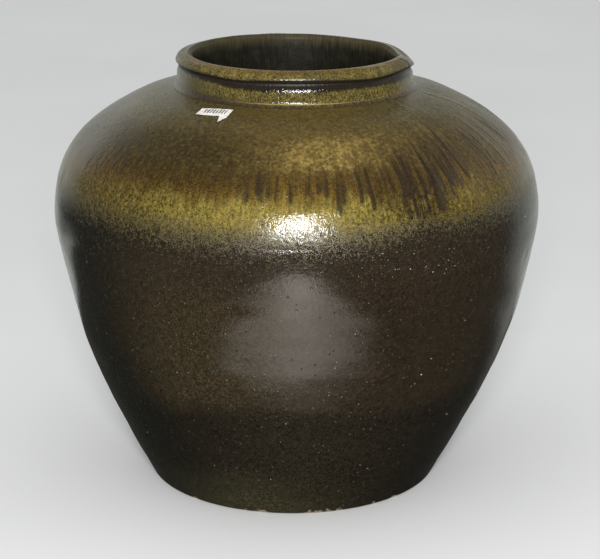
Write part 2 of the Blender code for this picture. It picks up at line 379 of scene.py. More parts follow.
def buildShoulder(outer, inner):
    form, shape, band = jarForm, shoulderRelief, ringGap["joinBand"]
    low, high = form["seamHeight"], form["shoulderHeight"]
    throat = float(inner[-1, 1])
    outline = rowsBetween(outer, low, low + band, ringGap["join"])
    outline += rowsBetween(outer, low + band, high, ringGap["shoulder"])[1:]
    outline += straightRows(outline[-1], (form["mouthRadius"], high), ringGap["face"])
    outline += [(form["mouthRadius"], throat)]
    outline += reversed(rowsBetween(inner, low, throat, ringGap["insideShoulder"])[:-1])
    outline += straightRows(outline[-1], outline[0], ringGap["face"])
    piece = turnSection("shoulderBody", outline, sidesRound["shoulder"])

    def marks(around, level, radius):
        return {"drips": dripField(around, level) * onOutside(radius, level, outer, inner)}

    def relief(around, level, radius):
        runs = shape["runs"] + shape["sideRuns"] * bump(around, *shape["sideAround"])
        runs = runs * swell(around, level, *shape["runSwell"]) * fade(level, *shape["runsAbove"])
        move = bodyShape(around, level) + drips["relief"] * dripField(around, level) + runs
        edge = shape["edge"] * np.exp(-((level - shape["edgeHeight"]) / shape["edgeWidth"]) ** 2)
        edge = edge * fade(around, *shape["edgeFrom"]) * (1 - fade(around, *shape["edgeTo"]))
        lastRing = 1 - fade(level, *shape["lastRing"])
        return np.where(onOutside(radius, level, outer, inner), (move + edge) * lastRing, 0)

    sculpt(piece, outer, relief, marks)
    return piece


# out from the waist and up from the shoulder: foot, waist, the hollow under the lip, the lip's widest ring
neckShape = {
    "line": ((0.0138, -0.0015), (0.0112, -0.0003), (0.0095, 0.0014), (0.0086, 0.0040), (0.0083, 0.0080),
             (0.0081, 0.0130), (0.0078, 0.0185), (0.0069, 0.0235), (0.0054, 0.0274), (0.0040, 0.0305),
             (0.0036, 0.0317), (0.0046, 0.0329), (0.0068, 0.0350), (0.0090, 0.0380)), "samples": 24,
    "slow": 0.0004, "slowSwell": (52, (3, 9), (2, 9), 12), "sink": 1.6,
    "runs": 0.00006, "runSwell": (51, (110, 240), (4, 20), 30),
    "peel": 0.00005, "peelSwell": (53, (90, 330), (60, 200), 40), "start": 0.008, "skin": 0.002,
}


def neckLine():
    form = jarForm
    points = [(form["waistRadius"] + out, form["shoulderHeight"] + up) for out, up in neckShape["line"]]
    return smoothCurve(np.array(points), neckShape["samples"])


def neckMove(around, level):
    # shared by the neck and the lip, so that the surface runs on over their join
    shape = neckShape
    slow = swell(around, level, *shape["slowSwell"])
    runs = swell(around, level, *shape["runSwell"])
    peel = swell(around, level, *shape["peelSwell"])
    return shape["slow"] * (slow - shape["sink"]) + shape["runs"] * runs + shape["peel"] * peel


def lobeSag(around, level, radius):
    # the lip hangs lower past its crease, and takes the hollow under it along
    form, shape = jarForm, lipShape
    hang = shape["sag"] * bump(around, *shape["lobeAround"])
    hang *= fade(wrapped(around - shape["creaseAround"]), *shape["sagFrom"])
    thick = 1 - fade(level, form["neckTop"] + shape["thickAbove"], form["rimTop"] - shape["thickBelow"])
    for middle, spread, depth in shape["heavy"]:
        hang = hang + depth * thick * bump(around, middle, spread)
    hang = hang * fade(level, form["neckTop"] - shape["sagBelow"], form["neckTop"] + shape["sagAbove"])
    return hang * fade(radius, *shape["sagRadius"])


lipShape = {
    "crestOut": 0.007, "crestRound": 0.008, "creaseAround": 70, "creaseSpread": 1.2, "creaseDepth": 0.0016,
    "lobeAround": (94, 19), "lobeOut": 0.0012, "lobeFrom": (0, 4), "sag": 0.0062, "sagFrom": (-3, 5),
    "sagBelow": 0.016, "sagAbove": 0.002, "sagRadius": (0.159, 0.172), "thickAbove": 0.003, "thickBelow": 0.001,
    "slow": 0.0004, "slowSwell": (61, (3, 12), (2, 20), 14), "sink": 1.2, "acrossTurns": 3,
    "peel": 0.00009, "peelSwell": (62, (60, 260), (40, 160), 40),
    "heavy": ((40, 17, 0.0046), (-27, 14, 0.0026)),  # azimuth, spread, how much lower the lip reaches there
    "outward": (0.004, 0.002), "topFrom": 0.001, "rimGap": 0.0001, "roundOver": 0.002,
}


def buildNeck(line):
    form = jarForm
    seat = form["shoulderHeight"]
    outline = rowsBetween(line, float(line[0, 1]), form["neckTop"], ringGap["neck"])
    outline += straightRows(outline[-1], (form["mouthRadius"], form["neckTop"]), ringGap["collarFace"])
    outline += straightRows(outline[-1], (form["mouthRadius"], seat), ringGap["bore"])
    outline += straightRows(outline[-1], (form["neckFootRadius"], seat), ringGap["collarFace"])
    outline += straightRows(outline[-1], outline[0], ringGap["collarFace"])
    piece = turnSection("neckBand", outline, sidesRound["neck"])

    def relief(around, level, radius):
        outside = radius > np.interp(level, line[:, 1], line[:, 0]) - neckShape["skin"]
        return np.where(outside, neckMove(around, level) * fade(level, seat, seat + neckShape["start"]), 0)

    sculpt(piece, line, relief, sag=lobeSag)
    return piece


def buildLip(line):
    form, shape = jarForm, lipShape
    crest, top = form["mouthRadius"] + shape["crestOut"], form["rimTop"] - shape["rimGap"]
    wide, widest = float(line[-1, 0]), float(line[-1, 1])
    outline = arcRows((crest, top - shape["crestRound"]), (shape["crestOut"], shape["crestRound"]), 180, 90,
                      arcSteps["crest"])
    outline += arcRows((crest, widest), (wide - crest, top - widest), 90, 0, arcSteps["lip"])[1:]
    outline += reversed(rowsBetween(line, form["neckTop"], widest, ringGap["lip"])[:-1])
    outline += straightRows(outline[-1], (form["mouthRadius"], form["neckTop"]), ringGap["collarFace"])
    outline += straightRows(outline[-1], outline[0], ringGap["joinBand"])
    piece = turnSection("rolledLip", outline, sidesRound["lip"])

    def relief(around, level, radius):
        inset, outset = shape["outward"]
        outward = fade(radius, form["mouthRadius"] + inset, form["waistRadius"] - outset)
        slow = shape["slow"] * (swell(around, radius * shape["acrossTurns"], *shape["slowSwell"]) - shape["sink"])
        peel = shape["peel"] * swell(around, radius + level, *shape["peelSwell"])
        away = wrapped(around - shape["creaseAround"])
        crease = -shape["creaseDepth"] * np.exp(-(away / shape["creaseSpread"]) ** 2)
        lobe = shape["lobeOut"] * bump(around, *shape["lobeAround"]) * fade(away, *shape["lobeFrom"])
        onTop = fade(level, form["neckTop"] + shape["topFrom"], widest)
        ring = radius > np.interp(level, line[:, 1], line[:, 0]) - neckShape["skin"]
        shared = np.where(ring, neckMove(around, level), 0)
        return shared * (1 - onTop) + (slow + peel + crease + lobe) * onTop * outward

    sculpt(piece, line, relief, roundAbove=(widest - shape["roundOver"], widest), sag=lobeSag)
    return piece


outerWall = smoothCurve(wallPoints())
innerWall = insideCurve(outerWall, jarForm["wall"])
neckProfile = neckLine()
glazedFoot = buildFoot(outerWall)
lowerBody = buildLowerBody(outerWall, innerWall)
shoulderBody = buildShoulder(outerWall, innerWall)
neckBand = buildNeck(neckProfile)
rolledLip = buildLip(neckProfile)
print("jar turned and sculpted")


# The paper sticker, torn at its lower corner

sticker = {
    "length": 0.051, "width": 0.024, "tail": 0.026, "cell": 0.0015, "paper": 0.00025,
    "around": -33.1, "turn": 10, "setback": 0.025, "rest": 0.00035,
    "tailRootShare": 0.76, "tailTipShare": 0.9, "tailNotchShare": 0.12,
    "torn": ((0.0003, 2900, 0), (0.0002, 5300, 1)),  # how far the torn edge waves, how tightly, from where
    "lift": 0.0035, "liftGrowth": 1.7, "cornerLift": 0.0012, "cornerSize": (0.012, 0.009),
    "cockle": 0.0002, "cockleTurns": (420, 610), "edgeReach": 0.0001, "smoothUnder": 50,
}


def buildSticker(outer, target):
    length, width = sticker["length"], sticker["width"]
    bpy.ops.object.select_all(action="DESELECT")
    bpy.ops.mesh.primitive_grid_add(x_subdivisions=round(length / sticker["cell"]),
                                    y_subdivisions=round(width / sticker["cell"]), size=1)
    piece = bpy.context.object
    piece.name = piece.data.name = "paperSticker"
    piece.scale = (length, width, 1)
    bpy.ops.object.transform_apply(location=True, rotation=True, scale=True)

    # the tail is drawn out of the lower edge, narrowing to its tip
    root = (sticker["tailRootShare"] - 0.5) * length
    tip = (sticker["tailTipShare"] - 0.5) * length
    steps = round(sticker["tail"] / sticker["cell"])
    bpy.ops.object.mode_set(mode="EDIT")
    bpy.ops.mesh.select_mode(type="EDGE")
    bpy.ops.mesh.select_all(action="DESELECT")
    bpy.ops.object.mode_set(mode="OBJECT")
    points = piece.data.vertices
    for edge in piece.data.edges:
        ends = [points[i].co for i in edge.vertices]
        edge.select = all(p.y < -width / 2 + sticker["edgeReach"] and p.x > root for p in ends)
    bpy.ops.object.mode_set(mode="EDIT")
    for _ in range(steps):
        bpy.ops.mesh.extrude_region_move(TRANSFORM_OT_translate={"value": (0, -sticker["tail"] / steps, 0)})
    bpy.ops.object.mode_set(mode="OBJECT")
    flat = np.empty(len(points) * 3)
    points.foreach_get("co", flat)
    flat = flat.reshape(-1, 3)
    below = np.clip((-width / 2 - flat[:, 1]) / sticker["tail"], 0, 1)
    notch = sticker["tailNotchShare"]
    right = np.where(below < notch, length / 2,
                     length / 2 + (tip - length / 2) * (below - notch) / (1 - notch))
    left = root + (tip - root) * below
    share = (flat[:, 0] - root) / (length / 2 - root)
    torn = sum(depth * np.sin(flat[:, 1] * turns + start) for depth, turns, start in sticker["torn"])
    flat[:, 0] = np.where(below > 0, left + share * (right - left) + torn, flat[:, 0])

    layer = piece.data.uv_layers.new(name="sheetPlace")
    corner = np.empty(len(piece.data.loops), dtype=np.int32)
    piece.data.loops.foreach_get("vertex_index", corner)
    sheet = np.column_stack((flat[:, 0] / length + 0.5, flat[:, 1] / width + 0.5))
    layer.data.foreach_set("uv", sheet[corner].astype(np.float32).ravel())

    # laid on the shoulder along its slope
    radius = jarForm["neckFootRadius"] + sticker["setback"] + width / 2
    top = outer[outer[:, 1] > jarForm["bellyHeight"]][::-1]
    height = float(np.interp(radius, top[:, 0], top[:, 1]))
    rise = height - float(np.interp(radius + width / 2, top[:, 0], top[:, 1]))
    angle = math.radians(sticker["around"])
    away = Vector((math.sin(angle), -math.cos(angle), 0))
    normal = (away * rise + Vector((0, 0, width / 2))).normalized()
    across = Vector((math.cos(angle), math.sin(angle), 0))
    slope = normal.cross(across)
    turn = math.radians(sticker["turn"])
    rightward = across * math.cos(turn) + slope * math.sin(turn)
    upward = slope * math.cos(turn) - across * math.sin(turn)
    middle = away * radius + Vector((0, 0, height)) + normal * jarForm["wall"]
    frameAxes = np.array([rightward, upward, normal])
    points.foreach_set("co", (flat @ frameAxes + np.array(middle)).ravel())
    piece.data.update()

    lay = piece.modifiers.new("lieOnShoulder", "SHRINKWRAP")
    lay.target = target
    lay.wrap_method = "TARGET_PROJECT"
    lay.offset = sticker["rest"]
    bpy.ops.object.modifier_apply(modifier=lay.name)

    # the torn tail and one corner have come unstuck
    curl = sticker["lift"] * below ** sticker["liftGrowth"]
    cornerWide, cornerHigh = sticker["cornerSize"]
    cornerAway = np.hypot((flat[:, 0] + length / 2) / cornerWide, (flat[:, 1] + width / 2) / cornerHigh)
    curl += sticker["cornerLift"] * np.exp(-cornerAway ** 2)
    turnsAcross, turnsUp = sticker["cockleTurns"]
    curl += sticker["cockle"] * (1 + np.sin(flat[:, 0] * turnsAcross + 1) * np.sin(flat[:, 1] * turnsUp))
    laid = np.empty(len(points) * 3)
    points.foreach_get("co", laid)
    laid = laid.reshape(-1, 3) + np.array(normal) * curl[:, None]
    points.foreach_set("co", laid.ravel())
    piece.data.update()
    paper = piece.modifiers.new("paper", "SOLIDIFY")
    paper.thickness = sticker["paper"]
    paper.offset = 1
    bpy.ops.object.modifier_apply(modifier=paper.name)
    bpy.ops.object.shade_smooth_by_angle(angle=math.radians(sticker["smoothUnder"]))
    return piece


paperSticker = buildSticker(outerWall, shoulderBody)
print("sticker laid on the shoulder")


# Kiln grit stuck in the glaze

grit = {
    "seed": 17, "size": (0.0004, 0.00095), "knob": (0.6, 1.2), "flatter": 0.7, "sunk": 0.1, "slopeStep": 0.002,
    # azimuth from and to, height from and to, how many
    "patches": ((13, 38, 0.403, 0.446, 30), (-40, 50, 0.05, 0.39, 20), (-180, 180, 0.05, 0.45, 60)),
}


def outwardAt(curve, around, level):
    # a point on the turned wall and the way it faces
    radius = radiusAt(curve, level)
    step = grit["slopeStep"]
    slope = (radiusAt(curve, level + step) - radiusAt(curve, level - step)) / (2 * step)
    angle = math.radians(around)
    facing = Vector((math.sin(angle), -math.cos(angle), -slope)).normalized()
    return Vector((radius * math.sin(angle), -radius * math.cos(angle), level)), facing


def buildGrit(outer):
    rng = np.random.default_rng(grit["seed"])
    bpy.ops.object.select_all(action="DESELECT")
    crumbs = []
    for left, right, low, high, count in grit["patches"]:
        for _ in range(count):
            around, level = rng.uniform(left, right), rng.uniform(low, high)
            size = rng.uniform(*grit["size"])
            point, facing = outwardAt(outer, around, level)
            bpy.ops.mesh.primitive_ico_sphere_add(subdivisions=1, radius=size)
            crumb = bpy.context.object
            knobs = np.empty(len(crumb.data.vertices) * 3)
            crumb.data.vertices.foreach_get("co", knobs)
            knobs = knobs.reshape(-1, 3) * rng.uniform(*grit["knob"], (len(crumb.data.vertices), 1))
            knobs[:, 2] *= grit["flatter"]
            depth = bodyShape(np.array([around]), np.array([level]))[0] - grit["sunk"] * size
            spot = warped(np.array([point + facing * depth]))[0]
            crumb.data.vertices.foreach_set("co", (knobs + spot).ravel())
            crumbs.append(crumb)
    for crumb in crumbs:
        crumb.select_set(True)
    bpy.context.view_layer.objects.active = crumbs[0]
    bpy.ops.object.join()
    piece = bpy.context.object
    piece.name = piece.data.name = "kilnGrit"
    bpy.ops.object.select_all(action="DESELECT")
    return piece


kilnGrit = buildGrit(outerWall)
print("kiln grit scattered")


# Shader helpers

def addNode(tree, kind, values=None, **settings):
    # values that are sockets are linked, the rest are typed in
    made = tree.nodes.new("ShaderNode" + kind)
    for name, value in settings.items():
        setattr(made, name, value)
    for name, value in (values or {}).items():
        if isinstance(value, bpy.types.NodeSocket):
            tree.links.new(value, made.inputs[name])
        else:
            made.inputs[name].default_value = value
    return made


def calc(tree, operation, first, second=0.0, third=0.0, clamp=False):
    made = addNode(tree, "Math", {0: first, 1: second, 2: third}, operation=operation, use_clamp=clamp)
    return made.outputs[0]


def plus(tree, first, second):
    return calc(tree, "ADD", first, second)


def minus(tree, first, second):
    return calc(tree, "SUBTRACT", first, second)


def times(tree, first, second):
    return calc(tree, "MULTIPLY", first, second)


def timesPlus(tree, value, factor, extra, clamp=False):
    return calc(tree, "MULTIPLY_ADD", value, factor, extra, clamp)


def ease(tree, value, low, high, toLow=0.0, toHigh=1.0):
    made = addNode(tree, "MapRange", {"Value": value, "From Min": low, "From Max": high,
                                      "To Min": toLow, "To Max": toHigh}, interpolation_type="SMOOTHSTEP")
    return made.outputs["Result"]


def blendColour(tree, factor, first, second):
    made = addNode(tree, "Mix", {"Factor": factor}, data_type="RGBA")
    for name, value in (("A", first), ("B", second)):
        socket = next(s for s in made.inputs if s.name == name and s.type == "RGBA")
        if isinstance(value, bpy.types.NodeSocket):
            tree.links.new(value, socket)
        else:
            socket.default_value = (*value, 1)
    return next(s for s in made.outputs if s.type == "RGBA")


def toned(tree, colour, share):
    # the colour, darker or lighter by a share
    return addNode(tree, "VectorMath", {0: colour, "Scale": share}, operation="SCALE").outputs[0]


def noiseOf(tree, place, scale, detail=2.0, roughness=0.5):
    return addNode(tree, "TexNoise", {"Vector": place, "Scale": scale, "Detail": detail,
                                      "Roughness": roughness}).outputs[0]


def startGroup(name, inputs, outputs):
    group = bpy.data.node_groups.new(name, "ShaderNodeTree")
    for label, kind, value in inputs:
        socket = group.interface.new_socket(label, in_out="INPUT", socket_type="NodeSocket" + kind)
        if value is not None:
            socket.default_value = value
    for label, kind in outputs:
        group.interface.new_socket(label, in_out="OUTPUT", socket_type="NodeSocket" + kind)
    entry = group.nodes.new("NodeGroupInput")
    leave = group.nodes.new("NodeGroupOutput")
    return group, entry.outputs, leave.inputs


def useGroup(tree, group, values):
    made = tree.nodes.new("ShaderNodeGroup")
    made.node_tree = group
    for name, value in values.items():
        if isinstance(value, bpy.types.NodeSocket):
            tree.links.new(value, made.inputs[name])
        else:
            made.inputs[name].default_value = value
    return made.outputs


ringRadius = 0.34  # the wall's patterns are laid on a ring of this radius


def makeRingGroup():
    # the jar's wall unrolled: a place on a ring of one radius, and the azimuth in degrees
    group, given, result = startGroup("ringPlace", [("Place", "Vector", None)],
                                      [("Ring", "Vector"), ("Around", "Float")])
    x, y, z = addNode(group, "SeparateXYZ", {0: given["Place"]}).outputs
    flat = addNode(group, "CombineXYZ", {0: x, 1: y}).outputs[0]
    unit = addNode(group, "VectorMath", {0: flat}, operation="NORMALIZE").outputs[0]
    ring = addNode(group, "VectorMath", {0: unit, "Scale": ringRadius}, operation="SCALE").outputs[0]
    ringX, ringY, _ = addNode(group, "SeparateXYZ", {0: ring}).outputs
    group.links.new(addNode(group, "CombineXYZ", {0: ringX, 1: ringY, 2: z}).outputs[0], result["Ring"])
    angle = calc(group, "ARCTAN2", x, times(group, y, -1.0))
    group.links.new(calc(group, "DEGREES", angle), result["Around"])
    return group


def makeStreakGroup():
    # runs of glaze: noise drawn out down the wall
    group, given, result = startGroup(
        "glazeStreaks", [("Ring", "Vector", None), ("Width", "Float", 0.01), ("Length", "Float", 0.1),
                         ("Contrast", "Float", 2.0), ("Shift", "Float", 0.0)], [("Streak", "Float")])
    across = calc(group, "DIVIDE", 1.0, given["Width"])
    down = calc(group, "DIVIDE", 1.0, given["Length"])
    size = addNode(group, "CombineXYZ", {0: across, 1: across, 2: down}).outputs[0]
    drawn = addNode(group, "VectorMath", {0: given["Ring"], 1: size}, operation="MULTIPLY").outputs[0]
    moved = addNode(group, "VectorMath", {0: drawn, 1: given["Shift"]}, operation="ADD").outputs[0]
    noise = noiseOf(group, moved, 1.0)
    spread = timesPlus(group, minus(group, noise, 0.5), given["Contrast"], 0.5, clamp=True)
    group.links.new(spread, result["Streak"])
    return group


speckShape = {"reach": (0.8, 0.4), "core": 0.45}


def makeSpeckGroup():
    # scattered round specks: a share of the cells hold one
    group, given, result = startGroup(
        "glazeSpecks", [("Place", "Vector", None), ("Size", "Float", 0.004), ("Share", "Float", 0.3),
                        ("Edge", "Float", 0.35)], [("Speck", "Float")])
    cells = addNode(group, "TexVoronoi", {"Vector": given["Place"],
                                          "Scale": calc(group, "DIVIDE", 1.0, given["Size"])})
    red, green, _ = addNode(group, "SeparateColor", {0: cells.outputs["Color"]}).outputs
    chosen = calc(group, "LESS_THAN", red, given["Share"])
    reach = times(group, given["Edge"], timesPlus(group, green, *speckShape["reach"]))
    dot = ease(group, cells.outputs["Distance"], reach, times(group, reach, speckShape["core"]))
    group.links.new(times(group, dot, chosen), result["Speck"])
    return group


def makeWindowGroup():
    # a soft window round one azimuth, height or radius
    group, given, result = startGroup(
        "softWindow", [("Value", "Float", 0.0), ("Middle", "Float", 0.0), ("Spread", "Float", 20.0)],
        [("Window", "Float")])
    away = calc(group, "DIVIDE", minus(group, given["Value"], given["Middle"]), given["Spread"])
    square = times(group, times(group, away, away), -1.0)
    group.links.new(calc(group, "EXPONENT", square), result["Window"])
    return group


def specksOf(tree, place, size, share, edge):
    return useGroup(tree, speckGroup, {"Place": place, "Size": size, "Share": share, "Edge": edge})["Speck"]


skinShape = {"peel": (130.0, 1.5), "grainDrawn": (1, 1, 0.6), "grain": 480.0, "pitSize": 0.0065, "pitEdge": 0.3}


def makeSkinGroup():
    # the fired skin: orange peel, fine grain and open pits, as one height
    group, given, result = startGroup(
        "firedSkin", [("Place", "Vector", None), ("Peel", "Float", 0.5), ("Grain", "Float", 0.5),
                      ("Pits", "Float", 0.5), ("Pit Share", "Float", 0.1)], [("Height", "Float")])
    shape, place = skinShape, given["Place"]
    drawn = addNode(group, "VectorMath", {0: place, 1: shape["grainDrawn"]}, operation="MULTIPLY").outputs[0]
    peel = noiseOf(group, place, *shape["peel"])
    grain = noiseOf(group, drawn, shape["grain"])
    pits = specksOf(group, place, shape["pitSize"], given["Pit Share"], shape["pitEdge"])
    total = timesPlus(group, grain, given["Grain"], times(group, peel, given["Peel"]))
    group.links.new(minus(group, total, times(group, pits, given["Pits"])), result["Height"])
    return group


ringGroup = makeRingGroup()
streakGroup = makeStreakGroup()
speckGroup = makeSpeckGroup()
windowGroup = makeWindowGroup()
skinGroup = makeSkinGroup()


def streaksOf(tree, ring, width, length, contrast, shift=0.0):
    return useGroup(tree, streakGroup, {"Ring": ring, "Width": width, "Length": length, "Contrast": contrast,
                                        "Shift": shift})["Streak"]


def windowAt(tree, value, middle, spread):
    return useGroup(tree, windowGroup, {"Value": value, "Middle": middle, "Spread": spread})["Window"]


def skinOf(tree, place, peel, grain, pits, pitShare):
    return useGroup(tree, skinGroup, {"Place": place, "Peel": peel, "Grain": grain, "Pits": pits,
                                      "Pit Share": pitShare})["Height"]


def awayFrom(tree, value, middle):
    return calc(tree, "ABSOLUTE", plus(tree, value, -middle))


def risen(base, heights):
    return [base + height for height in heights]


def startMaterial(name):
    material = bpy.data.materials.new(name)
    material.use_nodes = True
    tree = material.node_tree
    place = addNode(tree, "TexCoord").outputs["Object"]
    return material, tree, tree.nodes["Principled BSDF"], place


def fieldOf(tree, name):
    return addNode(tree, "Attribute", attribute_name=name, attribute_type="GEOMETRY").outputs["Fac"]


def finishSurface(tree, shader, colour, roughness, height, depth):
    bumped = addNode(tree, "Bump", {"Height": height, "Distance": depth, "Strength": 1.0})
    tree.links.new(bumped.outputs[0], shader.inputs["Normal"])
    tree.links.new(colour, shader.inputs["Base Color"])
    tree.links.new(roughness, shader.inputs["Roughness"])


# Glazes. A window is its middle and its spread, in degrees or metres. An ease is from, to and, where they
# aren't 0 and 1, what it gives there. A noise is its scale, detail and roughness

glossLevel = 0.85
fineNoise = (720.0, 1.5, 0.7)

bodyLook = {
    "redBrown": (0.0165, 0.0125, 0.0075), "greenBlack": (0.0062, 0.0068, 0.0042), "footOlive": (0.04, 0.035, 0.0175),
    "brown": (0.036, 0.0265, 0.0125), "umber": (0.0205, 0.0143, 0.008), "night": (0.0085, 0.0066, 0.0042),
    "paleSpeck": (0.15, 0.13, 0.09), "dot": (0.2, 0.18, 0.14), "mottle": (0.1, 0.083, 0.034),
    "mottleShade": (0.04, 0.032, 0.014),
    "drift": (4.0, 3.0), "medium": (60.0, 3.0), "small": (170.0, 3.0, 0.6), "wander": 0.1,
    "umberAbove": (0.17, 0.225), "redAround": (2.0, 30.0), "redBelow": (0.26, 0.14),
    "brownAround": (-24.0, 21.0), "brownBelow": (0.45, 0.33), "brownPatches": (0.5, 0.4),
    "sideMiddle": 6.0, "sideWander": 30.0, "greenBeyond": (36.0, 62.0, 0.0, 0.9),
    "footAround": (-16.0, 34.0), "footBelow": (0.095, 0.0), "footShare": 0.9,
    "coarseBelow": (0.3, 0.14), "coarseAbove": (0.04, 0.09), "coarseLight": (0.35, 1.6), "coarseDeep": (-0.06, 0.42),
    "grainSmall": 0.35, "grainSteps": (0.38, 0.63),
    "mottleSmall": 0.12, "mottleAround": (-10.0, 34.0), "mottleFront": 0.06, "mottleAbove": (0.415, 0.494, -0.26, 0.07),
    "mottleDrift": 0.12, "gapAround": (30.5, 8.0), "gapLess": -0.06, "mottleSteps": (0.465, 0.53),
    "mottleFrom": (0.33, 0.43), "mottleTones": (0.35, 0.62), "mottleShare": 0.85,
    "speckSize": 0.0032, "speckEdge": 0.3, "speckMany": (0.38, 0.43, 0.26, 0.5),
    "speckStrong": (0.38, 0.43, 0.34, 0.55),
    "dots": (0.0075, 0.45, 0.15), "dotsBelow": (0.42, 0.36, 0.0, 0.6),
}


def makeBodyGroup():
    # the dark body glaze with the ochre's olive mottles thinning out over it, on both sides of the belly's seam
    tree, given, result = startGroup(
        "bodyGlaze", [("Place", "Vector", None), ("Around", "Float", 0.0), ("Level", "Float", 0.0),
                      ("Fine", "Float", 0.5)],
        [("Colour", "Color"), ("Speck", "Float"), ("Cover", "Float"), ("Small", "Float")])
    look = bodyLook
    place, around, level, fine = given["Place"], given["Around"], given["Level"], given["Fine"]
    cloud = minus(tree, noiseOf(tree, place, *look["drift"]), 0.5)
    medium = noiseOf(tree, place, *look["medium"])
    small = noiseOf(tree, place, *look["small"])

    # the belly is umber, browner to the left of the front, and the foot is nearly black
    wander = timesPlus(tree, cloud, look["wander"], level)
    high = ease(tree, wander, *look["umberAbove"])
    colour = blendColour(tree, high, look["night"], look["umber"])
    red = times(tree, windowAt(tree, around, *look["redAround"]), ease(tree, wander, *look["redBelow"]))
    colour = blendColour(tree, red, colour, look["redBrown"])
    warm = times(tree, windowAt(tree, around, *look["brownAround"]),
                 times(tree, high, ease(tree, level, *look["brownBelow"])))
    warm = calc(tree, "MULTIPLY", warm, timesPlus(tree, medium, *look["brownPatches"]), clamp=True)
    colour = blendColour(tree, warm, colour, look["brown"])
    side = timesPlus(tree, cloud, look["sideWander"], awayFrom(tree, around, look["sideMiddle"]))
    colour = blendColour(tree, ease(tree, side, *look["greenBeyond"]), colour, look["greenBlack"])
    foot = times(tree, ease(tree, wander, *look["footBelow"]), windowAt(tree, around, *look["footAround"]))
    colour = blendColour(tree, times(tree, foot, look["footShare"]), colour, look["footOlive"])
    grain = timesPlus(tree, small, look["grainSmall"], times(tree, fine, 1 - look["grainSmall"]))
    coarse = times(tree, ease(tree, level, *look["coarseBelow"]), ease(tree, level, *look["coarseAbove"]))
    light, deep = timesPlus(tree, coarse, *look["coarseLight"]), timesPlus(tree, coarse, *look["coarseDeep"])
    colour = toned(tree, colour, ease(tree, grain, *look["grainSteps"], deep, light))

    # olive mottles: close under the ochre band, single grains at the belly
    mixed = timesPlus(tree, small, look["mottleSmall"], times(tree, fine, 1 - look["mottleSmall"]))
    amount = timesPlus(tree, windowAt(tree, around, *look["mottleAround"]), look["mottleFront"],
                       ease(tree, level, *look["mottleAbove"]))
    amount = timesPlus(tree, cloud, look["mottleDrift"], amount)
    amount = timesPlus(tree, windowAt(tree, around, *look["gapAround"]), look["gapLess"], amount)
    cover = ease(tree, plus(tree, mixed, amount), *look["mottleSteps"])
    cover = times(tree, cover, ease(tree, level, *look["mottleFrom"]))
    rich = blendColour(tree, ease(tree, small, *look["mottleTones"]), look["mottleShade"], look["mottle"])
    colour = blendColour(tree, times(tree, cover, look["mottleShare"]), colour, rich)
    specks = specksOf(tree, place, look["speckSize"], ease(tree, level, *look["speckMany"]), look["speckEdge"])
    colour = blendColour(tree, times(tree, specks, ease(tree, level, *look["speckStrong"])), colour, look["paleSpeck"])
    dots = times(tree, specksOf(tree, place, *look["dots"]), ease(tree, level, *look["dotsBelow"]))
    colour = blendColour(tree, dots, colour, look["dot"])
    for name, value in (("Colour", colour), ("Speck", specks), ("Cover", cover), ("Small", small)):
        tree.links.new(value, result[name])
    return tree


bodyGroup = makeBodyGroup()

bodySkinLook = {
    "roughAbove": (0.395, 0.455), "shoulderBelow": (0.58, 0.52, 0.7, 1.0),
    "peel": (0.7, 0.8), "grain": (0.45, 0.85), "pits": 2.0, "pitShare": 0.16,
}


def bodySkin(tree, place, level):
    # the belly is smooth, the seam under the ochre band coarse, the shoulder between the two
    look = bodySkinLook
    rough = times(tree, ease(tree, level, *look["roughAbove"]), ease(tree, level, *look["shoulderBelow"]))
    return skinOf(tree, place, timesPlus(tree, rough, *look["peel"]), timesPlus(tree, rough, *look["grain"]),
                  look["pits"], look["pitShare"])


darkLook = {"cloud": 9.0, "rough": (0.08, 0.075), "speckRise": 0.5, "coverRise": 0.3, "smallRise": 0.5, "bump": 0.00024}


def makeDarkGlaze():
    material, tree, shader, place = startMaterial("darkGlaze")
    look = darkLook
    around, level = useGroup(tree, ringGroup, {"Place": place})["Around"], fieldOf(tree, "level")
    fine = noiseOf(tree, place, *fineNoise)
    body = useGroup(tree, bodyGroup, {"Place": place, "Around": around, "Level": level, "Fine": fine})
    height = timesPlus(tree, body["Speck"], look["speckRise"], bodySkin(tree, place, level))
    height = timesPlus(tree, body["Cover"], look["coverRise"], height)
    height = timesPlus(tree, body["Small"], look["smallRise"], height)
    roughness = timesPlus(tree, noiseOf(tree, place, look["cloud"]), *look["rough"])
    shader.inputs["Specular IOR Level"].default_value = glossLevel
    finishSurface(tree, shader, body["Colour"], roughness, height, look["bump"])
    return material


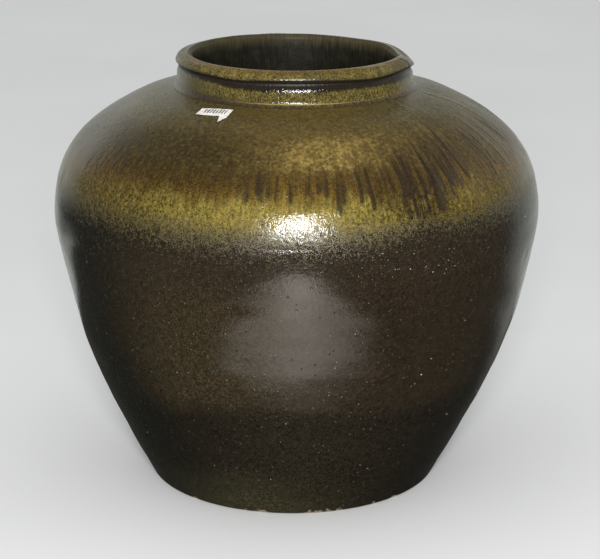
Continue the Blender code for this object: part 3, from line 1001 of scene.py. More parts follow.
shoulderLook = {
    "ochre": (0.172, 0.132, 0.028), "ochreShade": (0.085, 0.06, 0.0085), "amber": (0.092, 0.052, 0.0065),
    "brown": (0.094, 0.061, 0.0125), "umber": (0.056, 0.038, 0.0095), "gold": (0.28, 0.19, 0.046),
    "night": (0.014, 0.0105, 0.0055), "oliveGrey": (0.105, 0.088, 0.035), "drip": (0.026, 0.0165, 0.0075),
    "drift": (6.0, 2.0), "mottle": (45.0, 3.0), "small": (190.0, 3.0, 0.6),
    "streaks": (0.011, 0.045, 2.4), "hair": (0.0034, 0.02, 2.8, 4.0), "runs": (0.0055, 0.05, 3.2, 9.0),
    "front": (-6.0, 36.0), "centre": (10.0, 16.0), "right": (32.0, 13.5), "low": (29.5, 8.0),
    "backFade": (179.0, 115.0), "leftBeyond": (-14.0, -46.0), "rightBeyond": (14.0, 48.0),
    "brushedBelow": (0.585, 0.545, 0.0, 0.8),
    "toneParts": (0.4, 0.6), "frontLift": 0.05, "driftLift": (0.2, -0.1), "levelLift": (0.55, 0.6, -0.05, 0.02),
    "toneSteps": (0.34, 0.66),
    "greyAbove": (0.57, 0.604), "greyGrain": (0.35, 0.65, 0.35, 0.7), "greyBeyond": (12.0, 50.0, 0.4, 1.0),
    "beltAbove": (0.546, 0.56), "beltBelow": (0.598, 0.574), "beltStreaks": 0.25, "beltSteps": (0.5, 0.78),
    "beltShare": (0.6, 0.3), "flecks": (0.56, 0.7), "fleckLevel": (0.608, 0.57, 0.3, 1.0), "fleckShare": 0.15,
    "ragStreaks": 0.022, "ragSmall": 0.03, "amberBelow": (0.562, 0.535, 0.0, 0.85),
    "bandFront": 0.6, "bandSteps": (0.55, 1.02), "bandBelow": (0.534, 0.503),
    "dimBeyond": (-8.0, -30.0), "dimShare": -0.13, "litAround": ((-2.0, 15.0), (41.5, 8.0)),
    "litBelow": (0.55, 0.525), "litShare": 0.22, "hairSteps": (0.1, 0.9, -0.27, 0.18),
    "fieldLower": (-0.032, 0.516), "fieldBeyond": (35.0, 45.0, 0.0, 0.012), "fieldEdge": (-0.008, 0.008),
    "fieldBelow": (0.588, 0.556), "fieldRuns": (0.15, 0.8, 1.0, 0.35),
    "dullBeyond": (2.0, -22.0), "dullAbove": (0.513, 0.543), "dullBelow": (0.6, 0.575), "dullShare": (-0.32, 1.0),
    "shadeBelow": (0.47, 0.5, 0.6, 1.0), "dripGrain": (0.3, 0.6, 0.7, 1.0), "dripSteps": (0.05, 0.6, 0.0, 0.92),
    "grainSmall": 0.35, "spotSteps": (0.41, 0.59, 0.45, 1.45), "plainSteps": (0.38, 0.62),
    "plainDark": (-0.16, 0.66), "plainLight": (0.16, 1.34), "plainAbove": (0.525, 0.555),
    "edgeLow": 0.004, "edgeLeft": (0.002, 0.4785), "edgeRight": ((14.0, 30.0, 0.004), (40.0, 58.0, 0.005)),
    "edgeSoft": (0.01, 0.013), "edgeSmall": 0.1, "edgeDither": 9.0, "edgeSteps": (0.002, -0.002),
    "pits": (0.0042, 0.3, 0.3), "pitLevel": (0.56, 0.5, 0.15, 1.0), "pitShare": 0.7,
    "hairRise": 0.45, "coverRise": 0.3, "smallLevel": (0.5, 0.56, 0.3, 1.0), "smallLeft": (0.9, 1.0), "pitRise": -1.0,
    "roughMottle": 0.12, "roughLevel": (0.49, 0.57, 0.07, 0.22), "bump": 0.00026,
}


def makeShoulderGlaze():
    material, tree, shader, place = startMaterial("shoulderGlaze")
    ring, around = useGroup(tree, ringGroup, {"Place": place})
    level, drip = fieldOf(tree, "level"), fieldOf(tree, "drips")
    look = shoulderLook
    drift = noiseOf(tree, place, *look["drift"])
    mottle = noiseOf(tree, place, *look["mottle"])
    small = noiseOf(tree, place, *look["small"])
    fine = noiseOf(tree, place, *fineNoise)
    streaks = streaksOf(tree, ring, *look["streaks"])
    hair = streaksOf(tree, ring, *look["hair"])
    front, centre, right, low = (windowAt(tree, around, *look[name]) for name in ("front", "centre", "right", "low"))
    outward = calc(tree, "ABSOLUTE", around)
    aside = times(tree, around, ease(tree, outward, *look["backFade"]))
    left = ease(tree, aside, *look["leftBeyond"])
    brushed = calc(tree, "MAXIMUM", ease(tree, aside, *look["rightBeyond"]), ease(tree, level, *look["brushedBelow"]))

    # upper shoulder: umber and brown with olive clouds and gold flecks, and towards the front gold patches that are a
    # painted highlight of the front light
    mottlePart, smallPart = look["toneParts"]
    tone = plus(tree, times(tree, mottle, mottlePart), times(tree, small, smallPart))
    lift = timesPlus(tree, front, look["frontLift"], timesPlus(tree, drift, *look["driftLift"]))
    lift = plus(tree, lift, ease(tree, level, *look["levelLift"]))
    colour = blendColour(tree, ease(tree, plus(tree, tone, lift), *look["toneSteps"]), look["umber"], look["brown"])
    high = times(tree, ease(tree, level, *look["greyAbove"]), ease(tree, small, *look["greyGrain"]))
    high = times(tree, high, ease(tree, outward, *look["greyBeyond"]))
    colour = blendColour(tree, high, colour, look["oliveGrey"])
    # painted highlight: gold laid where the front light shines on the upper shoulder
    belt = times(tree, ease(tree, level, *look["beltAbove"]), ease(tree, level, *look["beltBelow"]))
    patches = ease(tree, timesPlus(tree, streaks, look["beltStreaks"], tone), *look["beltSteps"])
    goldHighlight = calc(tree, "MULTIPLY", times(tree, centre, belt), timesPlus(tree, patches, *look["beltShare"]), clamp=True)
    colour = blendColour(tree, goldHighlight, colour, look["gold"])
    flecks = times(tree, ease(tree, small, *look["flecks"]), ease(tree, level, *look["fleckLevel"]))
    colour = blendColour(tree, times(tree, flecks, look["fleckShare"]), colour, look["gold"])

    # amber below it, then the ochre band
    ragged = plus(tree, level, times(tree, minus(tree, streaks, 0.5), look["ragStreaks"]))
    ragged = plus(tree, ragged, times(tree, minus(tree, small, 0.5), look["ragSmall"]))
    colour = blendColour(tree, ease(tree, ragged, *look["amberBelow"]), colour, look["amber"])
    # painted light and shade: the ochre band is lighter towards the front and darker away from it
    band = ease(tree, timesPlus(tree, front, look["bandFront"], small), *look["bandSteps"])
    band = blendColour(tree, band, look["ochreShade"], look["ochre"])
    colour = blendColour(tree, ease(tree, ragged, *look["bandBelow"]), colour, band)
    # painted light and shade: lit at the front and at a spot on the right, dimmed on the left
    dim = times(tree, ease(tree, aside, *look["dimBeyond"]), look["dimShare"])
    middle, second = (windowAt(tree, around, *window) for window in look["litAround"])
    middle = times(tree, plus(tree, middle, second), ease(tree, level, *look["litBelow"]))
    colour = toned(tree, colour, plus(tree, timesPlus(tree, middle, look["litShare"], dim), 1.0))
    lines = times(tree, ease(tree, hair, *look["hairSteps"]), brushed)
    colour = toned(tree, colour, plus(tree, lines, 1.0))

    # the runs on the right stand in a dark brown field, and the left is dull above the band
    runs = streaksOf(tree, ring, *look["runs"])
    above = minus(tree, ragged, timesPlus(tree, low, *look["fieldLower"]))
    above = minus(tree, above, ease(tree, aside, *look["fieldBeyond"]))
    dark = times(tree, ease(tree, above, *look["fieldEdge"]), ease(tree, level, *look["fieldBelow"]))
    dark = times(tree, dark, calc(tree, "MAXIMUM", right, low))
    dark = times(tree, dark, ease(tree, runs, *look["fieldRuns"]))
    colour = blendColour(tree, dark, colour, look["drip"])
    dull = times(tree, ease(tree, level, *look["dullAbove"]), ease(tree, level, *look["dullBelow"]))
    dull = times(tree, ease(tree, aside, *look["dullBeyond"]), dull)
    colour = toned(tree, colour, timesPlus(tree, dull, *look["dullShare"]))
    colour = toned(tree, colour, ease(tree, level, *look["shadeBelow"]))
    broken = times(tree, ease(tree, small, *look["dripGrain"]), ease(tree, drip, *look["dripSteps"]))
    colour = blendColour(tree, broken, colour, look["drip"])
    grain = timesPlus(tree, small, look["grainSmall"], times(tree, fine, 1 - look["grainSmall"]))
    spots = toned(tree, colour, ease(tree, grain, *look["spotSteps"]))
    deep, light = timesPlus(tree, left, *look["plainDark"]), timesPlus(tree, left, *look["plainLight"])
    plain = toned(tree, colour, ease(tree, grain, *look["plainSteps"], deep, light))
    colour = blendColour(tree, ease(tree, level, *look["plainAbove"]), spots, plain)

    # below the band the body's dark glaze shows between olive mottles
    edge = timesPlus(tree, low, look["edgeLow"], timesPlus(tree, left, *look["edgeLeft"]))
    for start, end, rise in look["edgeRight"]:
        edge = timesPlus(tree, ease(tree, aside, start, end), rise, edge)
    soft = timesPlus(tree, left, *look["edgeSoft"])
    mixed = timesPlus(tree, small, look["edgeSmall"], times(tree, fine, 1 - look["edgeSmall"]))
    dither = times(tree, minus(tree, mixed, 0.5), times(tree, soft, look["edgeDither"]))
    below = ease(tree, minus(tree, plus(tree, level, dither), edge), *look["edgeSteps"])
    body = useGroup(tree, bodyGroup, {"Place": place, "Around": around, "Level": level, "Fine": fine})
    colour = blendColour(tree, below, colour, body["Colour"])
    pitted = times(tree, specksOf(tree, place, *look["pits"]), ease(tree, level, *look["pitLevel"]))
    colour = blendColour(tree, times(tree, pitted, look["pitShare"]), colour, look["night"])

    height = timesPlus(tree, times(tree, hair, brushed), look["hairRise"], bodySkin(tree, place, level))
    height = timesPlus(tree, times(tree, body["Cover"], below), look["coverRise"], height)
    pocked = times(tree, ease(tree, level, *look["smallLevel"]), timesPlus(tree, left, *look["smallLeft"]))
    height = timesPlus(tree, small, pocked, height)
    height = timesPlus(tree, pitted, look["pitRise"], height)
    roughness = timesPlus(tree, mottle, look["roughMottle"], ease(tree, level, *look["roughLevel"]))
    shader.inputs["Specular IOR Level"].default_value = glossLevel
    finishSurface(tree, shader, colour, roughness, height, look["bump"])
    return material


collarColours = {
    "ochre": (0.14, 0.108, 0.028), "olive": (0.085, 0.069, 0.021), "poolAndShade": (0.014, 0.0105, 0.0085),
    "amber": (0.16, 0.09, 0.014), "gold": (0.42, 0.31, 0.08), "plum": (0.034, 0.024, 0.019),
    "bare": (0.36, 0.32, 0.22), "shoulder": (0.1, 0.075, 0.024), "greyOlive": (0.068, 0.06, 0.028),
}

# heights are from the neck's foot, or from its top where a name says so
neckLook = {
    "streaks": (0.012, 0.012, 2.2), "hair": (0.0021, 0.0085, 3.2, 2.0), "mottle": (60.0, 3.0),
    "small": (240.0, 3.0, 0.6), "fine": (560.0, 2.0, 0.7),
    "oliveSteps": (0.2, 0.75), "hairSteps": (0.42, 0.02, 0.0, 0.85), "grainSteps": (0.4, 0.6, 0.38, 1.62),
    "middle": 8.0, "greyBeyond": (38.0, 68.0, 0.0, 0.7), "ragged": 0.004,
    "narrowFrom": (-22.0, -50.0), "narrowBy": (-178.0, -130.0, 0.0, -0.0065), "poolShadeTop": (-0.0185, -0.0125),
    "poolShadeShare": 0.95, "skirtBelow": (0.0045, 0.0015), "skirtTones": (0.35, 0.65),
    "stainBelow": (0.011, 0.004), "stainAround": (-42.0, 26.0), "stainShare": 0.7,
    "lineAround": (2.0, 24.0), "lineHeight": 0.0032, "lineSpread": 0.0007, "lineShare": 0.8,
    "skin": (0.7, 0.6, 1.2, 0.2), "hairRise": 0.35, "roughTop": (-0.0085, -0.0055), "roughSteps": (0.06, 0.35),
    "roughFoot": (0.007, 0.003), "footRough": (0.0, 0.12), "roughMottle": 0.1, "gloss": 0.5, "bump": 0.00022,
}


def makeNeckGlaze():
    material, tree, shader, place = startMaterial("neckGlaze")
    ring, around = useGroup(tree, ringGroup, {"Place": place})
    level = fieldOf(tree, "level")
    look, tint = neckLook, collarColours
    seat, top = jarForm["shoulderHeight"], jarForm["neckTop"]
    streaks, hair = streaksOf(tree, ring, *look["streaks"]), streaksOf(tree, ring, *look["hair"])
    mottle, small, fine = (noiseOf(tree, place, *look[name]) for name in ("mottle", "small", "fine"))
    colour = blendColour(tree, ease(tree, mottle, *look["oliveSteps"]), tint["olive"], tint["ochre"])
    colour = blendColour(tree, ease(tree, hair, *look["hairSteps"]), colour, tint["poolAndShade"])
    colour = toned(tree, colour, ease(tree, fine, *look["grainSteps"]))

    # the neck's sides are duller than its front
    away = awayFrom(tree, around, look["middle"])
    colour = blendColour(tree, ease(tree, away, *look["greyBeyond"]), colour, tint["greyOlive"])

    # dark pooled glaze and painted shade in the hollow under the lip, a dark stain at the left of the neck's foot and
    # a gold line at the front
    ragged = plus(tree, level, times(tree, minus(tree, streaks, 0.5), look["ragged"]))
    narrow = times(tree, ease(tree, around, *look["narrowFrom"]), ease(tree, around, *look["narrowBy"]))
    # painted shade in the hollow under the lip, in the colour of the pooled glaze
    poolAndShade = ease(tree, plus(tree, ragged, narrow), *risen(top, look["poolShadeTop"]))
    colour = blendColour(tree, times(tree, poolAndShade, look["poolShadeShare"]), colour, tint["poolAndShade"])
    foot = ease(tree, ragged, *risen(seat, look["skirtBelow"]))
    skirt = blendColour(tree, ease(tree, small, *look["skirtTones"]), tint["plum"], tint["shoulder"])
    colour = blendColour(tree, foot, colour, skirt)
    stain = times(tree, ease(tree, ragged, *risen(seat, look["stainBelow"])),
                  windowAt(tree, around, *look["stainAround"]))
    colour = blendColour(tree, times(tree, stain, look["stainShare"]), colour, tint["plum"])
    line = times(tree, windowAt(tree, level, seat + look["lineHeight"], look["lineSpread"]),
                 windowAt(tree, around, *look["lineAround"]))
    colour = blendColour(tree, times(tree, line, look["lineShare"]), colour, tint["gold"])

    height = timesPlus(tree, hair, look["hairRise"], skinOf(tree, place, *look["skin"]))
    hollow = ease(tree, level, *risen(top, look["roughTop"]), *look["roughSteps"])
    hollow = plus(tree, hollow, ease(tree, level, *risen(seat, look["roughFoot"]), *look["footRough"]))
    shader.inputs["Specular IOR Level"].default_value = look["gloss"]
    finishSurface(tree, shader, colour, timesPlus(tree, mottle, look["roughMottle"], hollow), height, look["bump"])
    return material


# heights are from the neck's top
lipLook = {
    "streaks": (0.02, 0.02, 2.4), "mottle": (60.0, 3.0), "small": (300.0, 2.0, 0.6), "fine": (620.0, 2.0, 0.7),
    "belt": (0.009, 0.0115), "beltShare": 0.7, "warmParts": (0.5, 0.6), "warmSteps": (0.1, 0.85),
    "darkSteps": (0.44, 0.32, 0.0, 0.7), "grainSteps": (0.4, 0.6, 0.36, 1.64),
    "shadeBelow": (0.001, 0.0075), "shadeSteps": (0.45, 1.0), "cloudSteps": (0.3, 0.7, 0.86, 1.14),
    "middle": -4.0, "greyBeyond": (40.0, 85.0, 0.0, 0.75), "ragged": 0.004,
    "underShadeBelow": (0.0026, 0.0006), "underShadeShare": 0.95,
    "thinIn": 0.002, "thinSpread": 0.0022, "thinSteps": (0.3, 0.55), "thinShare": 0.5,
    "skin": (0.8, 0.7, 1.2, 0.16), "rough": (0.14, 0.2), "gloss": 0.5, "bump": 0.00026,
}


def makeLipGlaze():
    material, tree, shader, place = startMaterial("lipGlaze")
    ring, around = useGroup(tree, ringGroup, {"Place": place})
    level = fieldOf(tree, "level")
    look, tint, top = lipLook, collarColours, jarForm["neckTop"]
    streaks = streaksOf(tree, ring, *look["streaks"])
    mottle, small, fine = (noiseOf(tree, place, *look[name]) for name in ("mottle", "small", "fine"))
    belt = ease(tree, level, *risen(top, look["belt"]))
    streakPart, mottlePart = look["warmParts"]
    warm = timesPlus(tree, streaks, streakPart, times(tree, mottle, mottlePart))
    colour = blendColour(tree, ease(tree, warm, *look["warmSteps"]), tint["olive"], tint["ochre"])
    colour = blendColour(tree, times(tree, belt, look["beltShare"]), colour, tint["amber"])
    colour = blendColour(tree, ease(tree, small, *look["darkSteps"]), colour, tint["poolAndShade"])
    colour = toned(tree, colour, ease(tree, fine, *look["grainSteps"]))
    shade = ease(tree, level, *risen(top, look["shadeBelow"]), *look["shadeSteps"])
    colour = toned(tree, toned(tree, colour, shade), ease(tree, mottle, *look["cloudSteps"]))

    # the back and the ends of the lip are duller than its front
    away = awayFrom(tree, around, look["middle"])
    colour = blendColour(tree, ease(tree, away, *look["greyBeyond"]), colour, tint["greyOlive"])
    # painted shade on the underside of the lip, in the colour of the pooled glaze
    ragged = plus(tree, level, times(tree, minus(tree, small, 0.5), look["ragged"]))
    under = ease(tree, ragged, *risen(top, look["underShadeBelow"]))
    colour = blendColour(tree, times(tree, under, look["underShadeShare"]), colour, tint["poolAndShade"])

    # the glaze is thin and pale on the inner edge
    flatPlace = addNode(tree, "VectorMath", {0: place, 1: (1, 1, 0)}, operation="MULTIPLY").outputs[0]
    radius = addNode(tree, "VectorMath", {0: flatPlace}, operation="LENGTH").outputs["Value"]
    crest = jarForm["mouthRadius"] + lipShape["crestOut"]
    thin = times(tree, windowAt(tree, radius, crest - look["thinIn"], look["thinSpread"]),
                 ease(tree, mottle, *look["thinSteps"]))
    colour = blendColour(tree, times(tree, thin, look["thinShare"]), colour, tint["bare"])
    shader.inputs["Specular IOR Level"].default_value = look["gloss"]
    finishSurface(tree, shader, colour, timesPlus(tree, mottle, *look["rough"]),
                  skinOf(tree, place, *look["skin"]), look["bump"])
    return material


insideLook = {
    "brown": (0.066, 0.055, 0.028), "shade": (0.014, 0.013, 0.0085), "fleck": (0.042, 0.043, 0.022),
    "streaks": (0.02, 0.02, 1.8), "hair": (0.005, 0.03, 2.4, 6.0), "mottle": (70.0, 3.0), "ragged": 0.008,
    "brownAbove": (0.639, 0.663), "fleckSteps": (0.5, 0.72, 0.0, 0.3), "hairSteps": (0.0, 1.0, 0.72, 1.28),
    "skin": (1.2, 0.5, 1.0, 0.12), "rough": (0.2, 0.34), "gloss": 0.12, "bump": 0.0003,
}


def makeInsideGlaze():
    material, tree, shader, place = startMaterial("insideGlaze")
    ring, level = useGroup(tree, ringGroup, {"Place": place})["Ring"], fieldOf(tree, "level")
    look = insideLook
    streaks, hair = streaksOf(tree, ring, *look["streaks"]), streaksOf(tree, ring, *look["hair"])
    mottle = noiseOf(tree, place, *look["mottle"])
    lowered = timesPlus(tree, minus(tree, streaks, 0.5), look["ragged"], level)
    colour = blendColour(tree, ease(tree, lowered, *look["brownAbove"]), look["shade"], look["brown"])
    colour = blendColour(tree, ease(tree, mottle, *look["fleckSteps"]), colour, look["fleck"])
    colour = toned(tree, colour, ease(tree, hair, *look["hairSteps"]))
    shader.inputs["Specular IOR Level"].default_value = look["gloss"]
    finishSurface(tree, shader, colour, timesPlus(tree, mottle, *look["rough"]),
                  skinOf(tree, place, *look["skin"]), look["bump"])
    return material


clayLook = {
    "pale": (0.36, 0.29, 0.2), "warm": (0.22, 0.15, 0.1), "soot": (0.07, 0.06, 0.05),
    "clay": (90.0, 4.0, 0.6), "claySteps": (0.35, 0.65), "sand": (700.0, 2.0), "sootSteps": (0.55, 0.75, 0.0, 0.5),
    "rougher": 0.75,
}


def makeFootGlaze(dark):
    # the dark glaze down to its ragged end, with bare clay where it is chipped and underneath
    material = dark.copy()
    material.name = "footGlaze"
    tree, look = material.node_tree, clayLook
    shader = tree.nodes["Principled BSDF"]
    place = addNode(tree, "TexCoord").outputs["Object"]
    bare = fieldOf(tree, "bare")
    clay, sand = noiseOf(tree, place, *look["clay"]), noiseOf(tree, place, *look["sand"])
    colour = blendColour(tree, ease(tree, clay, *look["claySteps"]), look["warm"], look["pale"])
    colour = blendColour(tree, ease(tree, sand, *look["sootSteps"]), colour, look["soot"])
    glaze = shader.inputs["Base Color"].links[0].from_socket
    gloss = shader.inputs["Roughness"].links[0].from_socket
    tree.links.new(blendColour(tree, bare, glaze, colour), shader.inputs["Base Color"])
    tree.links.new(timesPlus(tree, bare, look["rougher"], gloss, clamp=True), shader.inputs["Roughness"])
    return material


gritLook = {
    "dark": (0.3, 0.25, 0.17), "pale": (0.7, 0.65, 0.55), "speck": (260.0, 2.0), "steps": (0.35, 0.6),
    "rough": (0.3, 0.2), "bump": 0.0002,
}


def makeGritMaterial():
    material, tree, shader, place = startMaterial("kilnGrit")
    look = gritLook
    speck = noiseOf(tree, place, *look["speck"])
    colour = blendColour(tree, ease(tree, speck, *look["steps"]), look["dark"], look["pale"])
    finishSurface(tree, shader, colour, timesPlus(tree, speck, *look["rough"]), speck, look["bump"])
    return material


# places on the sheet are shares of its length and width
paperLook = {
    "white": (0.9, 0.88, 0.83), "aged": (0.78, 0.74, 0.65), "ink": (0.045, 0.045, 0.05), "inkShare": 0.9,
    "barTurns": 69.0, "barEdge": -0.15, "barsAcross": (0.13, 0.86), "barsUp": (0.32, 0.88),
    "worn": (300.0, 2.0), "wornSteps": (0.8, 0.7), "age": (120.0, 3.0), "ageSteps": (0.35, 0.7),
    "fibre": (2200.0, 2.0), "rough": (0.2, 0.5), "bump": 0.00004,
}


def makePaper():
    # white paper with a block of even bars, yellowed and scuffed in patches
    material, tree, shader, place = startMaterial("stickerPaper")
    look = paperLook
    sheet = addNode(tree, "UVMap", uv_map="sheetPlace").outputs[0]
    u, v, _ = addNode(tree, "SeparateXYZ", {0: sheet}).outputs
    ink = calc(tree, "GREATER_THAN", calc(tree, "SINE", times(tree, u, look["barTurns"])), look["barEdge"])
    ink = times(tree, ink, ease(tree, noiseOf(tree, place, *look["worn"]), *look["wornSteps"]))
    for where, (start, end) in ((u, look["barsAcross"]), (v, look["barsUp"])):
        inside = times(tree, calc(tree, "GREATER_THAN", where, start), calc(tree, "LESS_THAN", where, end))
        ink = times(tree, ink, inside)
    age = noiseOf(tree, place, *look["age"])
    colour = blendColour(tree, ease(tree, age, *look["ageSteps"]), look["white"], look["aged"])
    colour = blendColour(tree, times(tree, ink, look["inkShare"]), colour, look["ink"])
    fibre = noiseOf(tree, place, *look["fibre"])
    finishSurface(tree, shader, colour, timesPlus(tree, age, *look["rough"]), fibre, look["bump"])
    return material


darkGlaze = makeDarkGlaze()
insideGlaze = makeInsideGlaze()


# a face that looks at the axis by more than this share has the inside's glaze
insideFrom = {"share": 0.02, "axisShift": 0.002}


def dress(piece, node, outside, inside=None):
    piece.data.materials.clear()
    piece.data.materials.append(outside)
    if inside:
        piece.data.materials.append(inside)
        for face in piece.data.polygons:
            outward = face.normal.x * face.center.x + face.normal.y * face.center.y
            radius = math.hypot(face.center.x + insideFrom["axisShift"], face.center.y)
            if outward < -insideFrom["share"] * radius:
                face.material_index = 1
    if node:
        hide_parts(node)
    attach(piece, "root")


dress(glazedFoot, "base_disc", makeFootGlaze(darkGlaze))
dress(lowerBody, "lower_wall", darkGlaze, insideGlaze)
dress(shoulderBody, "shoulder", makeShoulderGlaze(), insideGlaze)
dress(neckBand, "neck_collar", makeNeckGlaze(), insideGlaze)
dress(rolledLip, "lip_roll", makeLipGlaze(), insideGlaze)
dress(paperSticker, "paper_label", makePaper())
dress(kilnGrit, None, makeGritMaterial())
print("glazes, clay and paper applied")


# Floor, lights and camera

studio = {
    "floorSize": 30.0, "floorColour": (0.8, 0.8, 0.79), "floorDarker": 0.97, "floorCloud": (1.3, 3.0),
    "floorSteps": (0.3, 0.7), "stageRough": 0.9, "skyForCamera": (0.76, 0.77, 0.78), "skyStrength": 1.0,
    "flashPlace": (0.0, -2.78, 1.3), "flashSize": (0.34, 0.86), "flashPower": 63, "flashAim": (0, 0, 0.42),
}

# what the glaze mirrors of the room: x is aside, y is beyond the jar and z is the climb of the mirrored ray
mirrorSky = {
    "low": (0.029, 0.029, 0.027), "middle": (0.06, 0.058, 0.054), "high": (0.065, 0.064, 0.058),
    "wall": (0.4, 0.4, 0.37), "middleAbove": (-0.7, -0.25), "highAbove": (0.0, 0.7),
    "wallBeyond": (-0.3, 0.3), "wallAbove": (-0.1, 0.35), "wallBelow": (0.8, 0.45),
    "wallAside": (-0.7, -0.3, 0.25, 1.0),
    "skirtBeyond": (0.4, 0.66), "skirtAbove": (-0.5, -0.36), "skirtBelow": (0.1, -0.05), "skirtAside": (0.2, 0.5),
}

# the card behind the jar: it fades at its edges, is dimmer in one corner and at the foot, and brighter at the sheen
wallCard = {
    "left": -1.5, "right": 2.6, "back": 0.62, "top": 1.25, "bright": 0.57, "tint": (0.96, 1.0, 0.94),
    "fadeFrom": 0.75, "rightFrom": 0.7, "leftFrom": -0.95,
    "corner": 0.8, "cornerAcross": (-0.66, -0.84), "cornerAbove": (0.06, 0.2), "cornerBelow": (0.42, 0.28),
    "sheen": 0.55, "sheenAcross": (-0.3, -0.55), "sheenAbove": (0.6, 0.85),
    "foot": 0.1, "footAcross": (0.3, 0.7), "footBelow": (0.35, 0.0),
}

# the card that lies in front of the jar: a wide glow and a brighter core, and clouds drawn out across it
floorCard = {
    "near": -0.42, "far": -2.4, "side": 0.55, "rise": 0.002, "tint": (1.0, 0.94, 0.85),
    "wide": 0.535, "taper": 0.36, "middle": -0.79, "deep": 0.25, "bright": 0.84, "sideSharp": 12.0, "endSharp": 8.0,
    "coreAside": 0.02, "coreMiddle": -1.3, "coreWide": 0.15, "coreDeep": 0.56, "coreBright": 2.5, "coreSharp": 2.0,
    "cloudScale": (20.0, 70.0), "cloud": (1.0, 3.0, 0.7), "cloudSteps": (0.3, 0.7, 0.76, 1.24),
}


def startStageMaterial(name):
    material, tree, shader, place = startMaterial(name)
    shader.inputs["Roughness"].default_value = studio["stageRough"]
    return material, tree, shader, place


def lobe(tree, value, middle, spread, power):
    # |value - middle| / spread, to a power
    away = calc(tree, "ABSOLUTE", calc(tree, "DIVIDE", minus(tree, value, middle), spread))
    return calc(tree, "POWER", away, power)


def makeFloorPaint():
    material, tree, shader, place = startStageMaterial("studioFloor")
    cloud = ease(tree, noiseOf(tree, place, *studio["floorCloud"]), *studio["floorSteps"])
    pale = studio["floorColour"]
    darker = tuple(value * studio["floorDarker"] for value in pale)
    tree.links.new(blendColour(tree, cloud, darker, pale), shader.inputs["Base Color"])
    return material


def makeCardPaint(name, glow, tint):
    # a white card that is brightest where glow says
    material, tree, shader, place = startStageMaterial(name)
    shader.inputs["Base Color"].default_value = (0, 0, 0, 1)
    bright = glow(tree, *addNode(tree, "SeparateXYZ", {0: place}).outputs)
    tree.links.new(toned(tree, tint, bright), shader.inputs["Emission Color"])
    shader.inputs["Emission Strength"].default_value = 1.0
    return material


def wallGlow(tree, x, y, z):
    card = wallCard
    glow = ease(tree, z, card["top"], card["fadeFrom"], 0.0, card["bright"])
    glow = times(tree, glow, ease(tree, x, card["right"], card["rightFrom"]))
    glow = times(tree, glow, ease(tree, x, card["left"], card["leftFrom"]))
    upper = times(tree, ease(tree, x, *card["sheenAcross"]), ease(tree, z, *card["sheenAbove"]))
    glow = times(tree, glow, timesPlus(tree, upper, card["sheen"], 1.0))
    lower = times(tree, ease(tree, x, *card["footAcross"]), ease(tree, z, *card["footBelow"]))
    glow = times(tree, glow, timesPlus(tree, lower, -card["foot"], 1.0))
    corner = times(tree, ease(tree, x, *card["cornerAcross"]), ease(tree, z, *card["cornerAbove"]))
    corner = times(tree, corner, ease(tree, z, *card["cornerBelow"]))
    return times(tree, glow, timesPlus(tree, corner, -card["corner"], 1.0))


def floorGlow(tree, x, y, z):
    card = floorCard
    spread = timesPlus(tree, y, card["taper"], card["wide"])
    wide = plus(tree, lobe(tree, x, 0.0, spread, card["sideSharp"]),
                lobe(tree, y, card["middle"], card["deep"], card["endSharp"]))
    core = plus(tree, lobe(tree, x, card["coreAside"], card["coreWide"], card["coreSharp"]),
                lobe(tree, y, card["coreMiddle"], card["coreDeep"], card["coreSharp"]))
    wide, core = (calc(tree, "EXPONENT", times(tree, part, -1.0)) for part in (wide, core))
    across, along = card["cloudScale"]
    drawn = addNode(tree, "CombineXYZ", {0: times(tree, x, across), 1: times(tree, y, along)}).outputs[0]
    cloudy = ease(tree, noiseOf(tree, drawn, *card["cloud"]), *card["cloudSteps"])
    glow = timesPlus(tree, core, card["coreBright"], times(tree, wide, card["bright"]))
    return times(tree, glow, cloudy)


def aimAt(item, target):
    item.rotation_euler = (Vector(target) - item.location).to_track_quat("-Z", "Y").to_euler()


def addCard(name, place, size, turn, glow, tint):
    bpy.ops.object.select_all(action="DESELECT")
    bpy.ops.mesh.primitive_plane_add(size=1, location=place, rotation=turn)
    card = bpy.context.object
    card.name = name
    card.scale = (*size, 1)
    bpy.ops.object.transform_apply(location=True, rotation=True, scale=True)
    card.data.materials.append(makeCardPaint(name, glow, tint))
    card.visible_camera = card.visible_diffuse = card.visible_shadow = False


def setStage():
    bpy.ops.object.select_all(action="DESELECT")
    bpy.ops.mesh.primitive_plane_add(size=studio["floorSize"], location=(0, 0, 0))
    floor = bpy.context.object
    floor.name = "studioFloor"
    floor.data.materials.append(makeFloorPaint())
    floor.visible_glossy = False

    # pale cards that only the glaze mirrors: one behind the jar, one lying in front of it
    wall, ground = wallCard, floorCard
    addCard("backCard", ((wall["left"] + wall["right"]) / 2, wall["back"], wall["top"] / 2),
            (wall["right"] - wall["left"], wall["top"]), (math.radians(90), 0, 0), wallGlow, wall["tint"])
    addCard("frontCard", (0, (ground["near"] + ground["far"]) / 2, ground["rise"]),
            (ground["side"] * 2, ground["near"] - ground["far"]), (0, 0, 0), floorGlow, ground["tint"])


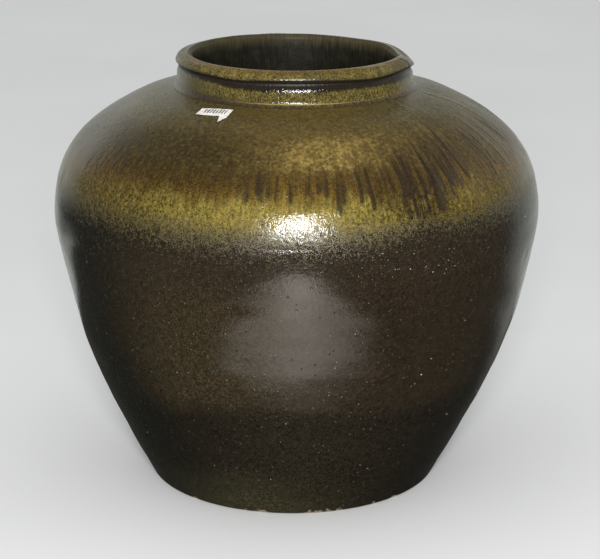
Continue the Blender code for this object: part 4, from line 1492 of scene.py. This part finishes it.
def setLights():
    world = bpy.data.worlds.new("studioSky")
    bpy.context.scene.world = world
    world.use_nodes = True
    tree = world.node_tree
    back = tree.nodes["Background"]
    look, rays = mirrorSky, addNode(tree, "LightPath").outputs
    aside, beyond, climb = addNode(tree, "SeparateXYZ", {0: addNode(tree, "TexCoord").outputs["Generated"]}).outputs
    mirrored = blendColour(tree, ease(tree, climb, *look["middleAbove"]), look["low"], look["middle"])
    mirrored = blendColour(tree, ease(tree, climb, *look["highAbove"]), mirrored, look["high"])
    wall = times(tree, ease(tree, beyond, *look["wallBeyond"]), ease(tree, climb, *look["wallAbove"]))
    wall = times(tree, wall, ease(tree, climb, *look["wallBelow"]))
    wall = times(tree, wall, ease(tree, aside, *look["wallAside"]))
    skirt = times(tree, ease(tree, beyond, *look["skirtBeyond"]), ease(tree, climb, *look["skirtAbove"]))
    skirt = times(tree, skirt, ease(tree, aside, *look["skirtAside"]))
    wall = calc(tree, "MAXIMUM", wall, times(tree, skirt, ease(tree, climb, *look["skirtBelow"])))
    mirrored = blendColour(tree, wall, mirrored, look["wall"])
    colour = blendColour(tree, rays["Is Glossy Ray"], studio["skyForCamera"], mirrored)
    tree.links.new(colour, back.inputs["Color"])
    back.inputs["Strength"].default_value = studio["skyStrength"]
    bpy.ops.object.light_add(type="AREA", location=studio["flashPlace"])
    flash = bpy.context.object
    flash.name = "frontSoftbox"
    flash.data.shape = "ELLIPSE"
    flash.data.size, flash.data.size_y = studio["flashSize"]
    flash.data.energy = studio["flashPower"]
    aimAt(flash, studio["flashAim"])


cameraSetup = {"distance": 2.8125, "height": 1.157, "pitch": 16.94, "lens": 111.95, "sensor": 36, "shift": 0.006}


def setCamera():
    bpy.ops.object.camera_add(location=(0, -cameraSetup["distance"], cameraSetup["height"]),
                              rotation=(math.radians(90 - cameraSetup["pitch"]), 0, 0))
    camera = bpy.context.object
    camera.data.lens = cameraSetup["lens"]
    camera.data.sensor_width = cameraSetup["sensor"]
    camera.data.shift_x = cameraSetup["shift"]
    bpy.context.scene.camera = camera


setStage()
setLights()
setCamera()
bpy.context.scene.view_settings.view_transform = "Standard"
print("studio set")
